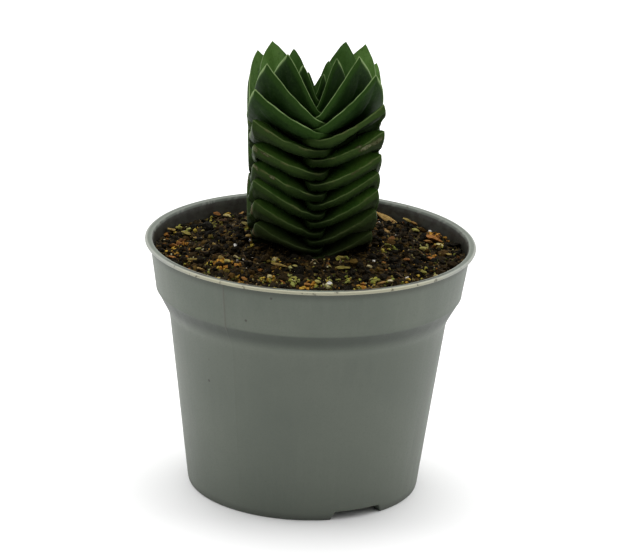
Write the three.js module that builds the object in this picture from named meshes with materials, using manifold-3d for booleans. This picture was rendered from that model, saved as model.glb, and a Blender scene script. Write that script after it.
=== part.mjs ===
// Potted square-column succulent: 21 crossed leaf pairs on an upright stem, standing in soil in a round plastic pot.
// Millimetres, +Z up. The origin is the centre of the pot's foot on the surface it stands on; -Y is the front.
import * as THREE from "three";
import { mergeVertices } from "three/addons/utils/BufferGeometryUtils.js";
import Module from "manifold-3d";

const wasm = await Module();
wasm.setup();

// ---------- driving dimensions ----------
const POT_H = 65.2; // height of the rim's top
const RIM_R = 42.5; // outer radius of the lip
const LIP_H = 0.95; // height of the lip's outer edge
const RIM_IN = 41.0; // where the lip's flat top ends
const BAND_TOP_R = 41.2; // outer radius of the upper band under the lip
const BAND_LOW_R = 39.4; // outer radius at the band's lower edge
const BAND_LOW_Z = 52.6;
const STEP_R = 35.9; // outer radius under the band's slope
const STEP_Z = 46.5;
const FOOT_R = 30.05; // outer radius at the foot
const WALL = 0.9; // wall thickness
const FLOOR_LOW = 2.3; // underside of the pot's floor
const FLOOR_TOP = 3.3;
const FOOT_IN = 27.6; // inner radius of the foot ring
const NOTCH_MID = 28.6; // degrees from the front, towards +X
const NOTCH_SPAN = 28; // degrees
const GAP = 0.3; // clearance between neighbouring pieces

const PLANT_X = 0;
const PLANT_Y = 4; // the column stands a little behind the pot's axis
const TURN = 3.5; // degrees, the column's turn about its own axis

const SOIL_WALL_Z = 62.0; // soil level at the pot's wall, lower at the back and higher at the front
const SOIL_MID_Z = 64.7; // soil level at the plant
const STEM_R = 2.15;

// node height, tip radius, tip height, mid-face radius, mid-face margin height, erectness (1 upright, 0 spread),
// thickness at the margin, thickness at the stem, the straight share and the power of the margin's rise to the tip,
// extra thickness behind the brim, how far the margin swells between mid-face and tip
const PAIRS = [
  [99.6, 2.1, 108.4, 2.2, 103.9, 1, 0.55, 0.3, 0.8, 1.4, 0, 0.12],
  [99, 4.5, 110.8, 4.6, 103.1, 1, 0.8, 0.3, 0.75, 1.4, 0, 0.12],
  [98.3, 6.8, 113.4, 8, 102, 1, 1, 0.35, 0.73, 1.08, 0, 0.1],
  [97.4, 10.7, 114.8, 11.7, 101.7, 1, 1.1, 0.5, 0.71, 1.2, 0, 0.06],
  [96.4, 14.3, 115.1, 14.2, 101.1, 1, 1.2, 0.6, 0.71, 1.05, 0, 0.02],
  [95.3, 18.2, 113.5, 15.6, 100.2, 0.96, 1.1, 0.7, 0.57, 1.5, 0, 0],
  [94.2, 19.9, 110.9, 16.6, 98.5, 0.86, 1.15, 0.8, 0.53, 1.5, 0.4, 0],
  [92.9, 22, 107.5, 17.3, 97.5, 0.72, 1.35, 0.9, 0.5, 1.7, 0.6, 0],
  [91.3, 22.9, 104.3, 16.9, 95.4, 0.5, 2.1, 0.9, 0.34, 1.8, 0.9, 0],
  [89.8, 23.3, 100.3, 16.7, 92.6, 0.28, 2.35, 0.9, 0.28, 1.9, 1.5, 0],
  [87.2, 23.1, 97.6, 16.5, 90, 0.15, 2.3, 0.9, 0.32, 1.8, 1.7, 0],
  [84.9, 22.9, 93.9, 16.7, 86.6, 0.06, 2.4, 0.9, 0.4, 1.8, 1.9, 0],
  [82.5, 22.9, 91.8, 16.5, 83.7, 0, 2.4, 0.9, 0.42, 1.8, 1.9, 0],
  [79.7, 22.7, 88.6, 16.6, 80.9, 0, 2.3, 0.9, 0.46, 1.8, 1.9, 0],
  [77.1, 22.6, 87, 16.4, 78.3, 0, 2.15, 0.9, 0.52, 1.7, 1.9, 0],
  [74.5, 22.5, 84.3, 16.5, 75.7, 0, 2.05, 0.9, 0.55, 1.7, 1.9, 0],
  [72.2, 22.2, 82.4, 16.2, 73.4, 0, 2, 0.9, 0.55, 1.7, 1.8, 0],
  [69.6, 22, 78.8, 16.1, 70.8, 0, 2, 0.9, 0.52, 1.8, 1.6, 0],
  [67.3, 21.6, 76.9, 15.8, 68.5, 0, 1.95, 0.9, 0.48, 1.8, 1.4, 0],
  [64.9, 21, 73.2, 15.4, 66.1, 0, 1.75, 0.9, 0.42, 1.9, 1.1, 0],
  [62.8, 20.3, 70.9, 14.9, 64, 0, 1.6, 0.9, 0.36, 1.9, 0.3, 0],
];
// tip radius and height of single leaves that differ from their pair: "pair rank"
const TIPS = {
  "1 0": [2.2, 108.6], "1 1": [2.8, 108.1], "2 2": [5.2, 111.2], "2 3": [4.3, 110.8], "3 0": [6.4, 113.4],
  "3 1": [8, 113], "4 2": [10.9, 115], "4 3": [10.7, 114.8], "5 0": [13.7, 115.3], "5 1": [15.3, 113.9],
  "6 2": [18.6, 113.9], "6 3": [18.5, 113], "7 0": [19.4, 111.7], "7 1": [20.5, 110.5], "8 2": [22.5, 107.8],
  "8 3": [23.1, 107.3], "9 0": [22.4, 104.6], "10 2": [23.4, 100.2], "13 0": [22.6, 91.7], "15 0": [21.8, 86.9],
  "17 0": [21.8, 82.2], "19 0": [21.2, 76.8],
};
const LEAF_IN = 2.45; // where the blade meets the stem
const LEAF_SHIFT = 0.12; // each blade stands this far out, so the two of a pair stay apart
const SIDE = [-88, -79, -70, -61, -52, -45, -38, -29, -18, -9, -3, 0, 3, 9, 18, 29, 38, 45, 52, 61, 70, 79, 88];
const UP_T = [0, 0.3, 0.6, 0.84, 1];
const LOW_T = [0.975, 0.84, 0.6, 0.3, 0];

// ---------- helpers ----------
const rad = (d) => (d * Math.PI) / 180;
const lerp = (a, b, t) => a + (b - a) * t;
const clamp = (v, a, b) => Math.min(b, Math.max(a, v));
const smooth = (t) => {
  t = clamp(t, 0, 1);
  return t * t * (3 - 2 * t);
};
const bez = (t, a, b, c, d) => {
  const m = 1 - t;
  return m * m * m * a + 3 * m * m * t * b + 3 * m * t * t * c + t * t * t * d;
};
const bezd = (t, a, b, c, d) => {
  const m = 1 - t;
  return 3 * (m * m * (b - a) + 2 * m * t * (c - b) + t * t * (d - c));
};
// a repeatable number from -1 to 1 for a pair and a rank
const vary = (k, rank, n) => {
  const s = Math.sin(k * 12.9898 + rank * 78.233 + n * 37.719) * 43758.5453;
  return 2 * (s - Math.floor(s)) - 1;
};
function solid(geometry) {
  const g = new THREE.BufferGeometry();
  g.setAttribute("position", geometry.getAttribute("position").clone());
  if (geometry.index) g.setIndex(geometry.index.clone());
  const m = mergeVertices(g, 1e-4);
  return new wasm.Manifold(
    new wasm.Mesh({
      numProp: 3,
      vertProperties: new Float32Array(m.attributes.position.array),
      triVerts: new Uint32Array(m.index.array),
    }),
  );
}
function geometryOf(made) {
  const m = made.getMesh();
  const n = m.numProp;
  const v = new Float32Array(m.numVert * 3);
  for (let i = 0; i < m.numVert; i++)
    v.set(m.vertProperties.subarray(i * n, i * n + 3), i * 3);
  const g = new THREE.BufferGeometry();
  g.setAttribute("position", new THREE.BufferAttribute(v, 3));
  g.setIndex(new THREE.BufferAttribute(new Uint32Array(m.triVerts), 1));
  g.computeVertexNormals();
  return g;
}
function lathe(points, segments) {
  return new THREE.LatheGeometry(
    points.map(([r, z]) => new THREE.Vector2(r, z)),
    segments,
  ).rotateX(Math.PI / 2);
}
const group = new THREE.Group();
group.name = "potted_column_succulent";
function add(name, geometry, colour, roughness) {
  const mesh = new THREE.Mesh(
    geometry,
    new THREE.MeshStandardMaterial({ color: colour, roughness, metalness: 0 }),
  );
  mesh.name = name;
  group.add(mesh);
  return mesh;
}

// ---------- leaves ----------
// The blade's profile in the upright plane at the angle a (degrees) from the leaf's middle line. All pairs share one
// fourfold family of surfaces, so crossed pairs nest; a leaf ends at its margin, which sinks and draws in past mid-face.
const POWER = 14; // sharpness of the column's softened outline
const CORNERS = {};
function cornerOf(rt, rf) {
  const key = `${rt} ${rf}`;
  if (!CORNERS[key]) {
    const mix = (A, B) => (A ** -POWER + B ** -POWER) ** (-1 / POWER);
    let A = rt;
    let B = rf;
    for (let i = 0; i < 12; i++) {
      A *= rt / mix(A, B * Math.SQRT2);
      B *= rf / mix(A * Math.SQRT2, B);
    }
    CORNERS[key] = [A, B];
  }
  return CORNERS[key];
}
const tipOf = (k, rank) => TIPS[`${k} ${rank}`] ?? [PAIRS[k - 1][1], PAIRS[k - 1][2] + 0.35 * vary(k, rank, 1)];
function profile(k, a, tip) {
  const [zn, , , rf, zf, e, , , c1, pow, , swell] = PAIRS[k - 1];
  const [rt, zt] = tip;
  const own = Math.abs(a) <= 45 ? Math.abs(a) : 90 - Math.abs(a);
  const [A, B] = cornerOf(rt, rf);
  const rm = ((A / Math.cos(rad(own))) ** -POWER + (B / Math.cos(rad(45 - own))) ** -POWER) ** (-1 / POWER);
  const u = (rm * Math.sin(rad(45 - own))) / (rt * Math.SQRT1_2); // 1 on a corner line, 0 at mid-face
  const dip = zt - zf;
  const level = 0.5 * (u + Math.sqrt(u * u + 0.0144)) - 0.06 * Math.max(0, 1 - u);
  const line = lerp(level, u, smooth((e - 0.3) / 0.4));
  const zm = zf + dip * (c1 * line + (1 - c1) * u ** pow + swell * 6.75 * u * u * (1 - u));
  const rb = Math.min(LEAF_IN, rf * 0.55);
  const a1 = lerp(0.26, 0.72, e);
  const b1 = lerp(0.12, 0.06, e);
  const a2 = lerp(0.48, 1.0, e ** 0.75);
  const droop = lerp(0.6, 1.9, smooth(u * 1.5));
  const R = [rb, rb + a1 * (rm - rb), rb + a2 * (rm - rb), rm];
  let Z = [zn, zn + b1 * (zm - zn), lerp(zm + droop, zn + 0.5 * (zm - zn), e ** 0.8), zm];
  let end = 1;
  let w = 0;
  if (Math.abs(a) > 45) {
    // past mid-face the wing draws in and tucks under its neighbour
    w = Math.tan(rad(Math.abs(a) - 45));
    const want = zf - dip * c1 * w * (1 + 0.6 * w) - 0.02;
    let lo = 0.3;
    let hi = 1;
    for (let i = 0; i < 30; i++) {
      const mid = (lo + hi) / 2;
      if (bez(mid, ...Z) > want) hi = mid;
      else lo = mid;
    }
    const tuck = 1 - TUCK * smooth((w - TUCK_FROM) / TUCK_OVER);
    end = lerp(tuck, (lo + hi) / 2, smooth((e - 0.3) / 0.4));
    const drop = DROP * (1 - Math.exp(-w / 0.1)) * (1 - e);
    Z = [Z[0], Z[1] - 0.5 * drop, Z[2] - drop, Z[3] - drop];
  }
  return { R, Z, end, u, w };
}
const TUCK = 0.44;
const TUCK_FROM = 0.07;
const TUCK_OVER = 0.36;
const DROP = 0.25;
function keelOf(k) {
  // the keel hangs down to just over the tip of the next leaf in its rank
  const [, rt, zt, , , e, T, , , , body] = PAIRS[k - 1];
  const room = k + 2 <= PAIRS.length ? zt - PAIRS[k + 1][2] - T - body - 0.5 : 1.6;
  return Math.max(0.2, Math.min(lerp(3.0, 0.2, Math.min(1, e * 1.6) ** 0.7), room)) * clamp(rt / 14, 0, 1);
}
// The upper surface of a leaf in the plane at the angle a, as the faceted line from the stem to the margin.
const COLUMNS = {};
function column(k, a, rank) {
  const key = `${k} ${a} ${rank}`;
  if (!COLUMNS[key]) {
    const { R, Z, end } = profile(k, a, tipOf(k, rank));
    COLUMNS[key] = UP_T.map((t) => [bez(t * end, ...R), bez(t * end, ...Z)]);
  }
  return COLUMNS[key];
}
function upperLine(k, a, rank) {
  const i = SIDE.findIndex((side) => side >= a);
  if (SIDE[i] === a) return column(k, a, rank);
  const [a0, a1] = [SIDE[i - 1], SIDE[i]];
  const [from, to] = [column(k, a0, rank), column(k, a1, rank)];
  return from.map(([r0, z0], j) => {
    const [r1, z1] = to[j];
    const g0 = r0 * Math.sin(rad(a - a0));
    const g1 = r1 * Math.sin(rad(a - a1));
    const f = g0 / (g0 - g1);
    const x = lerp(r0 * Math.cos(rad(a0)), r1 * Math.cos(rad(a1)), f);
    const y = lerp(r0 * Math.sin(rad(a0)), r1 * Math.sin(rad(a1)), f);
    return [Math.hypot(x, y), lerp(z0, z1, f)];
  });
}
function distanceTo(line, r, z) {
  let best = Infinity;
  for (let i = 0; i < line.length - 1; i++) {
    const [r0, z0] = line[i];
    const dr = line[i + 1][0] - r0;
    const dz = line[i + 1][1] - z0;
    const t = clamp(((r - r0) * dr + (z - z0) * dz) / (dr * dr + dz * dz || 1), 0, 1);
    best = Math.min(best, Math.hypot(r - r0 - t * dr, z - z0 - t * dz));
  }
  return best;
}
// The faceted lines of the leaves just below, in the plane at the angle a of a leaf of pair k: the crossed pair's,
// a little either side of that plane, and that of the next leaf in its own rank.
function linesBelow(k, a, rank) {
  const lines = [];
  if (k + 1 <= PAIRS.length)
    for (const other of rank < 2 ? [2, 3] : [0, 1])
      for (const aside of [-3, 0, 3]) {
        const across = clamp(90 - Math.abs(a) + aside, 0, 88);
        lines.push(upperLine(k + 1, across, other));
      }
  if (k + 2 <= PAIRS.length) lines.push(upperLine(k + 2, a, rank));
  return lines;
}
function sections(k, a, rank, upT, lowT) {
  const [, , , , , e, T, Tin, , , body] = PAIRS[k - 1];
  const tip = tipOf(k, rank);
  const { R, Z, end, u, w } = profile(k, a, tip);
  const below = linesBelow(k, a, rank);
  const clear = CLEAR * clamp(tip[0] / 12, 0.25, 1);
  const at = (t) => [bez(t, ...R), bez(t, ...Z)];
  const len = (t) => Math.hypot(bezd(t, ...R), bezd(t, ...Z));
  const up = upT.map((t) => at(t * end));
  const aside = u * tip[0] * Math.SQRT1_2; // mm from mid-face towards a corner
  let inner = null;
  const low = [...lowT].reverse().map((t) => {
    const s = t * end;
    const [r, z] = at(s);
    const dr = bezd(s, ...R);
    const dz = bezd(s, ...Z);
    const l = Math.hypot(dr, dz) || 1;
    const inward = (end - s) * 0.5 * (len(s) + len(end)); // about how far from the margin
    const round = (width) => Math.sqrt(1 - (1 - clamp(inward / width, 0, 1)) ** 2);
    const sharp = 1 - (1 - clamp(inward / Math.min(2.6, 0.5 * len(0.5)), 0, 1)) ** 2;
    let d = lerp(Tin, T, smooth((s - 0.3) / 0.4)) * lerp(round(1.6), sharp, e);
    d *= 1 - 0.45 * smooth(u) * smooth((e - 0.15) / 0.3);
    d += lerp(0.15, 1, smooth(aside / 9)) * body * (1 - e) * smooth((s - 0.35) / 0.3) * round(4);
    d *= lerp(lerp(1, THIN, smooth((1.5 - aside) / 5)), lerp(1, 0.5, smooth(w / 0.4)), e);
    const nose = clamp(d / T, 0, 1);
    const out = 1.1 * (1 - e) * nose * (1 - nose) * (1 - smooth(w / 0.3));
    const across = r * Math.sin(rad(a));
    const keel = keelOf(k) * Math.exp(-((across / 2.6) ** 2)) * smooth((s - 0.5) / 0.3) * round(lerp(1.5, 2.2, e)) * (w > 0 ? 0 : 1);
    const move = [((d + e * keel) * dz) / l + 0.14 * (1 - e) * keel + out, (-(d + e * keel) * dr) / l - (1 - e) * keel];
    // the leaf is as thick as its shape asks, or as far as the leaves below leave room
    let part = 0;
    while (part < 1) {
      const next = Math.min(1, part + 0.04);
      const p = [r + next * move[0], z + next * move[1]];
      const from = inner ?? p;
      const tight = [0.2, 0.4, 0.6, 0.8, 1].some((f) =>
        below.some((line) => distanceTo(line, lerp(from[0], p[0], f), lerp(from[1], p[1], f)) < clear),
      );
      if (part >= 0.08 && tight) break;
      part = next;
    }
    inner = [r + part * move[0], z + part * move[1]];
    return inner;
  });
  return [...up, ...low.reverse()]; // the margin point is shared
}
const THIN = 0.2;
const CLEAR = 0.48; // kept between a leaf's lower side and the leaves below
function leaf(k, azimuth, rank) {
  const n = UP_T.length + LOW_T.length;
  const v = [];
  for (const a of SIDE)
    for (const [r, z] of sections(k, a, rank, UP_T, LOW_T)) {
      const x = r * Math.cos(rad(a)) + LEAF_SHIFT;
      const y = r * Math.sin(rad(a));
      v.push(x, y, z);
    }
  const tri = [];
  for (let i = 0; i < SIDE.length - 1; i++)
    for (let j = 0; j < n; j++) {
      const a = i * n + j;
      const b = i * n + ((j + 1) % n);
      const c = a + n;
      const d = b + n;
      // both sides of the blade are split along the same diagonals, so thin places can't cross
      const upper = j < UP_T.length - 1;
      const left = i < (SIDE.length - 1) / 2;
      if (upper !== left) tri.push(a, b, c, b, d, c);
      else tri.push(a, b, d, a, d, c);
    }
  // the two cut sides, as strips between the upper and the lower row
  const row = (i, side) => i * n + side;
  const cap = (i, flip) => {
    const m = UP_T.length - 1;
    const ups = UP_T.map((_, j) => row(i, j));
    const lows = [ups[m], ...LOW_T.map((_, j) => row(i, m + 1 + j))].reverse();
    for (let j = 0; j < m; j++) {
      const quad = [ups[j], ups[j + 1], lows[j + 1], lows[j]];
      const faces =
        quad[1] === quad[2]
          ? [[quad[0], quad[1], quad[3]]]
          : [
              [quad[0], quad[1], quad[2]],
              [quad[0], quad[2], quad[3]],
            ];
      for (const f of faces) tri.push(...(flip ? f : f.reverse()));
    }
  };
  cap(0, false);
  cap(SIDE.length - 1, true);
  const g = new THREE.BufferGeometry();
  g.setAttribute("position", new THREE.Float32BufferAttribute(v, 3));
  g.setIndex(tri);
  g.rotateZ(rad(azimuth - 90)); // azimuth from the front (-Y) towards +X
  g.translate(PLANT_X, PLANT_Y, 0);
  return g;
}
const RANKS = [
  ["front_right", 45 + TURN],
  ["back_left", 225 + TURN],
  ["front_left", -45 + TURN],
  ["back_right", 135 + TURN],
];
for (let k = 1; k <= PAIRS.length; k++)
  for (const rank of k % 2 ? [0, 1] : [2, 3]) {
    const [where, azimuth] = RANKS[rank];
    add(
      `leaf_${String(k).padStart(2, "0")}_${where}`,
      leaf(k, azimuth, rank),
      k < 9 ? 0x3d5a34 : 0x35502c,
      0.55,
    );
  }

// ---------- stem ----------
add(
  "stem",
  lathe(
    [
      [0, 30],
      [1.1, 30],
      [2.6, 44],
      [3.3, 52],
      [2.6, 58],
      [STEM_R, 60.5],
      [STEM_R, 88],
      [1.85, 92],
      [1.3, 95.5],
      [0.75, 98.2],
      [0.45, 99.6],
      [0, 99.9],
    ],
    24,
  ),
  0x6f7d4a,
  0.7,
);

// ---------- pot ----------
const potProfile = [
  [0, FLOOR_LOW],
  [FOOT_IN - 0.6, FLOOR_LOW],
  [FOOT_IN, FLOOR_LOW - 0.5],
  [FOOT_IN, 0.2],
  [FOOT_IN + 0.2, 0],
  [FOOT_R - 0.35, 0],
  [FOOT_R, 0.35],
  [STEP_R, STEP_Z],
  [STEP_R + 0.5, STEP_Z + 0.5],
  [BAND_LOW_R - 0.35, BAND_LOW_Z - 0.45],
  [BAND_LOW_R, BAND_LOW_Z + 0.15],
  [BAND_TOP_R, POT_H - LIP_H - 0.1],
  [RIM_R - 0.25, POT_H - LIP_H],
  [RIM_R, POT_H - LIP_H + 0.25],
  [RIM_R, POT_H - 0.3],
  [RIM_R - 0.3, POT_H],
  [RIM_IN, POT_H],
  [BAND_TOP_R - WALL, POT_H - LIP_H - 0.2],
  [BAND_LOW_R - WALL, BAND_LOW_Z + 0.2],
  [STEP_R - WALL + 0.1, STEP_Z - 0.1],
  [FOOT_R - WALL + 0.45, FLOOR_TOP + 0.4],
  [FOOT_R - WALL, FLOOR_TOP],
  [0, FLOOR_TOP],
];
let pot = solid(lathe(potProfile, 60));
function wedge(mid, span) {
  const shape = new THREE.Shape();
  const h = FLOOR_LOW - 0.02;
  const half = Math.tan(rad(span / 2)) * FOOT_R;
  shape.moveTo(-half, -1);
  shape.lineTo(half, -1);
  shape.lineTo(half, 0.6);
  shape.lineTo(half - 1.0, h);
  shape.lineTo(-half + 1.0, h);
  shape.lineTo(-half, 0.6);
  const g = new THREE.ExtrudeGeometry(shape, { depth: 6, bevelEnabled: false });
  g.rotateX(Math.PI / 2); // the shape stands up, its depth runs to -Y
  g.translate(0, -(FOOT_IN - 2.5), 0);
  g.rotateZ(rad(mid));
  return solid(g);
}
pot = pot.subtract(wedge(NOTCH_MID, NOTCH_SPAN)).subtract(wedge(NOTCH_MID + 180, NOTCH_SPAN));
const HOLE_R = 2.6;
const hole = (x, y) =>
  solid(new THREE.CylinderGeometry(HOLE_R, HOLE_R, 4, 16).rotateX(Math.PI / 2).translate(x, y, 2.8));
for (let i = 0; i < 6; i++) {
  const a = rad(NOTCH_MID + 30 + i * 60);
  pot = pot.subtract(hole(18 * Math.cos(a), 18 * Math.sin(a)));
}
add("pot", geometryOf(pot), 0x6b746c, 0.62);

// ---------- soil ----------
// The lowest pair over a point: its underside less a clearance, and how far outside its margin the point is.
function under(x, y) {
  const k = PAIRS.length;
  const px = x - PLANT_X;
  const py = y - PLANT_Y;
  const r = Math.hypot(px, py);
  const az = (Math.atan2(px, -py) * 180) / Math.PI - TURN + 45; // 0 on a corner line
  const own = ((az % 90) + 90) % 90;
  const a = own > 45 ? 90 - own : own;
  const { R, Z } = profile(k, a, [PAIRS[k - 1][1], PAIRS[k - 1][2] - 0.4]);
  let lo = 0;
  let hi = 1;
  for (let i = 0; i < 24; i++) {
    const m = (lo + hi) / 2;
    if (bez(m, ...R) > r) hi = m;
    else lo = m;
  }
  const t = (lo + hi) / 2;
  const dr = bezd(t, ...R);
  const dz = bezd(t, ...Z);
  const keel = keelOf(k) * Math.exp(-(((r * Math.sin(rad(a))) / 2.8) ** 2)) * smooth((t - 0.45) / 0.3);
  const deep = PAIRS[k - 1][6] + PAIRS[k - 1][10] + keel;
  return [bez(t, ...Z) - (deep * Math.hypot(dr, dz)) / Math.max(dr, 1e-3) - 0.5, r - R[3]];
}
function soilTop(x, y) {
  const d = Math.hypot(x - PLANT_X, y - PLANT_Y);
  const wall = SOIL_WALL_Z - (0.95 * y) / 40 - (0.1 * x) / 40;
  const mound = lerp(SOIL_MID_Z, wall, smooth((d - 15) / 21));
  const lump =
    0.35 * Math.sin(0.31 * x + 1.2) * Math.cos(0.27 * y - 0.4) + 0.22 * Math.sin(0.63 * x - 0.5 * y + 2);
  const open = Math.min(mound + lump, 64.9);
  const [below, outside] = under(x, y);
  return lerp(Math.min(open, below), open, smooth((outside + 0.3) / 2));
}
const wallAt = (z) => {
  const p = [
    [FLOOR_TOP, FOOT_R - WALL],
    [FLOOR_TOP + 0.4, FOOT_R - WALL + 0.45],
    [STEP_Z - 0.1, STEP_R - WALL + 0.1],
    [BAND_LOW_Z + 0.2, BAND_LOW_R - WALL],
    [POT_H - LIP_H - 0.2, BAND_TOP_R - WALL],
  ];
  let i = 0;
  while (i < p.length - 2 && z > p[i + 1][0]) i++;
  return lerp(p[i][1], p[i + 1][1], (z - p[i][0]) / (p[i + 1][0] - p[i][0]));
};
{
  const N = 56;
  const rows = [0.08, 0.16, 0.24, 0.31, 0.35, 0.38, 0.41, 0.45, 0.49, 0.53, 0.6, 0.72, 0.86, 1];
  const edgeR = (z) => wallAt(z) - GAP - 0.08;
  const reach = (az) => {
    // from the plant's axis to the soil's edge, in the direction az from the front
    const dx = Math.sin(az);
    const dy = -Math.cos(az);
    const R = edgeR(SOIL_WALL_Z - 0.3);
    const b = PLANT_X * dx + PLANT_Y * dy;
    return -b + Math.sqrt(b * b - (PLANT_X ** 2 + PLANT_Y ** 2 - R * R));
  };
  const v = [];
  const tri = [];
  const ring = (f) => {
    const first = v.length / 3;
    for (let i = 0; i < N; i++) v.push(...f(((i + 0.5) / N) * 2 * Math.PI));
    return first;
  };
  const rings = [];
  const low = [FLOOR_TOP + GAP, STEP_Z - 0.6, STEP_Z + 0.3, BAND_LOW_Z + 0.5];
  // from the bottom centre outwards, up the wall, over the top and in to the stem's hole
  v.push(0, 0, low[0]);
  rings.push(ring((a) => [14 * Math.sin(a), -14 * Math.cos(a), low[0]]));
  for (const z of low) rings.push(ring((a) => [edgeR(z) * Math.sin(a), -edgeR(z) * Math.cos(a), z]));
  for (const s of [...rows].reverse())
    rings.push(
      ring((a) => {
        const d = s * reach(a);
        const x = PLANT_X + d * Math.sin(a);
        const y = PLANT_Y - d * Math.cos(a);
        return [x, y, soilTop(x, y)];
      }),
    );
  v.push(PLANT_X, PLANT_Y, 59.6);
  const last = v.length / 3 - 1;
  for (let i = 0; i < N; i++) {
    const j = (i + 1) % N;
    tri.push(0, rings[0] + j, rings[0] + i);
    for (let q = 0; q < rings.length - 1; q++) {
      const a = rings[q] + i;
      const b = rings[q] + j;
      const c = rings[q + 1] + i;
      const d = rings[q + 1] + j;
      tri.push(a, b, c, b, d, c);
    }
    const top = rings[rings.length - 1];
    tri.push(top + i, top + j, last);
  }
  const g = new THREE.BufferGeometry();
  g.setAttribute("position", new THREE.Float32BufferAttribute(v, 3));
  g.setIndex(tri);
  let soil = solid(g);
  const socket = solid(
    lathe(
      [
        [0, 29.6],
        [1.5, 29.6],
        [3.05, 44],
        [3.75, 52],
        [3.05, 58],
        [2.6, 60.5],
        [2.6, 70],
        [0, 70],
      ],
      24,
    ).translate(PLANT_X, PLANT_Y, 0),
  );
  soil = soil.subtract(socket);
  add("soil", geometryOf(soil), 0x2c2118, 0.95);
}
group.getObjectByName("stem").geometry.translate(PLANT_X, PLANT_Y, 0);

export default group;
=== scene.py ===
import math

import bmesh
import bpy
import numpy as np
from mathutils import Matrix, Vector, noise


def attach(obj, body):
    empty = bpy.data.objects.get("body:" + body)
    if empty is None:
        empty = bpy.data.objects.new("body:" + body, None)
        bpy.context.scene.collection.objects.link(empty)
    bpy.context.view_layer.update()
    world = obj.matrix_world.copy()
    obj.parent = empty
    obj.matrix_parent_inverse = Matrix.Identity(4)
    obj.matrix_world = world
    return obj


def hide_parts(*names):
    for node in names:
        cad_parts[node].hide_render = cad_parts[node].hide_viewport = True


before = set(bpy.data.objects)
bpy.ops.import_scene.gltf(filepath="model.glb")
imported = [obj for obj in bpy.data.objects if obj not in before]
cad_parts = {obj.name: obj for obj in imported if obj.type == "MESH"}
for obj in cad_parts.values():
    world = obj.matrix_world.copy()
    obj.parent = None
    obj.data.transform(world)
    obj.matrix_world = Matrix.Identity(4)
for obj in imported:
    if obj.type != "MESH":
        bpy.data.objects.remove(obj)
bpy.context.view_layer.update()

# Potted square-column succulent. Lengths in the functions below are millimetres; meshes are made in metres.
MM = 0.001
scene = bpy.context.scene
rad = math.radians


def lerp(a, b, t):
    return a + (b - a) * t


def smooth(t):
    t = np.clip(t, 0, 1)
    return t * t * (3 - 2 * t)


def vary(k, rank, n):
    s = math.sin(k * 12.9898 + rank * 78.233 + n * 37.719) * 43758.5453
    return 2 * (s - math.floor(s)) - 1


# ------------------------------------------------------------------ meshes
def new_object(name, verts_mm, faces, material, smooth_shade=True, attrs=None, body="root"):
    me = bpy.data.meshes.new(name)
    v = np.asarray(verts_mm, dtype=np.float64) * MM
    me.from_pydata(v.tolist(), [], faces)
    me.validate(verbose=False)
    me.update()
    if smooth_shade:
        me.polygons.foreach_set("use_smooth", [True] * len(me.polygons))
    for key, values in (attrs or {}).items():
        if len(me.vertices) != len(values):
            raise ValueError(f"{name}: attribute {key} doesn't fit")
        at = me.attributes.new(key, "FLOAT", "POINT")
        at.data.foreach_set("value", np.asarray(values, dtype=np.float32))
    me.materials.append(material)
    o = bpy.data.objects.new(name, me)
    scene.collection.objects.link(o)
    if body:
        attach(o, body)
    return o


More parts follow.
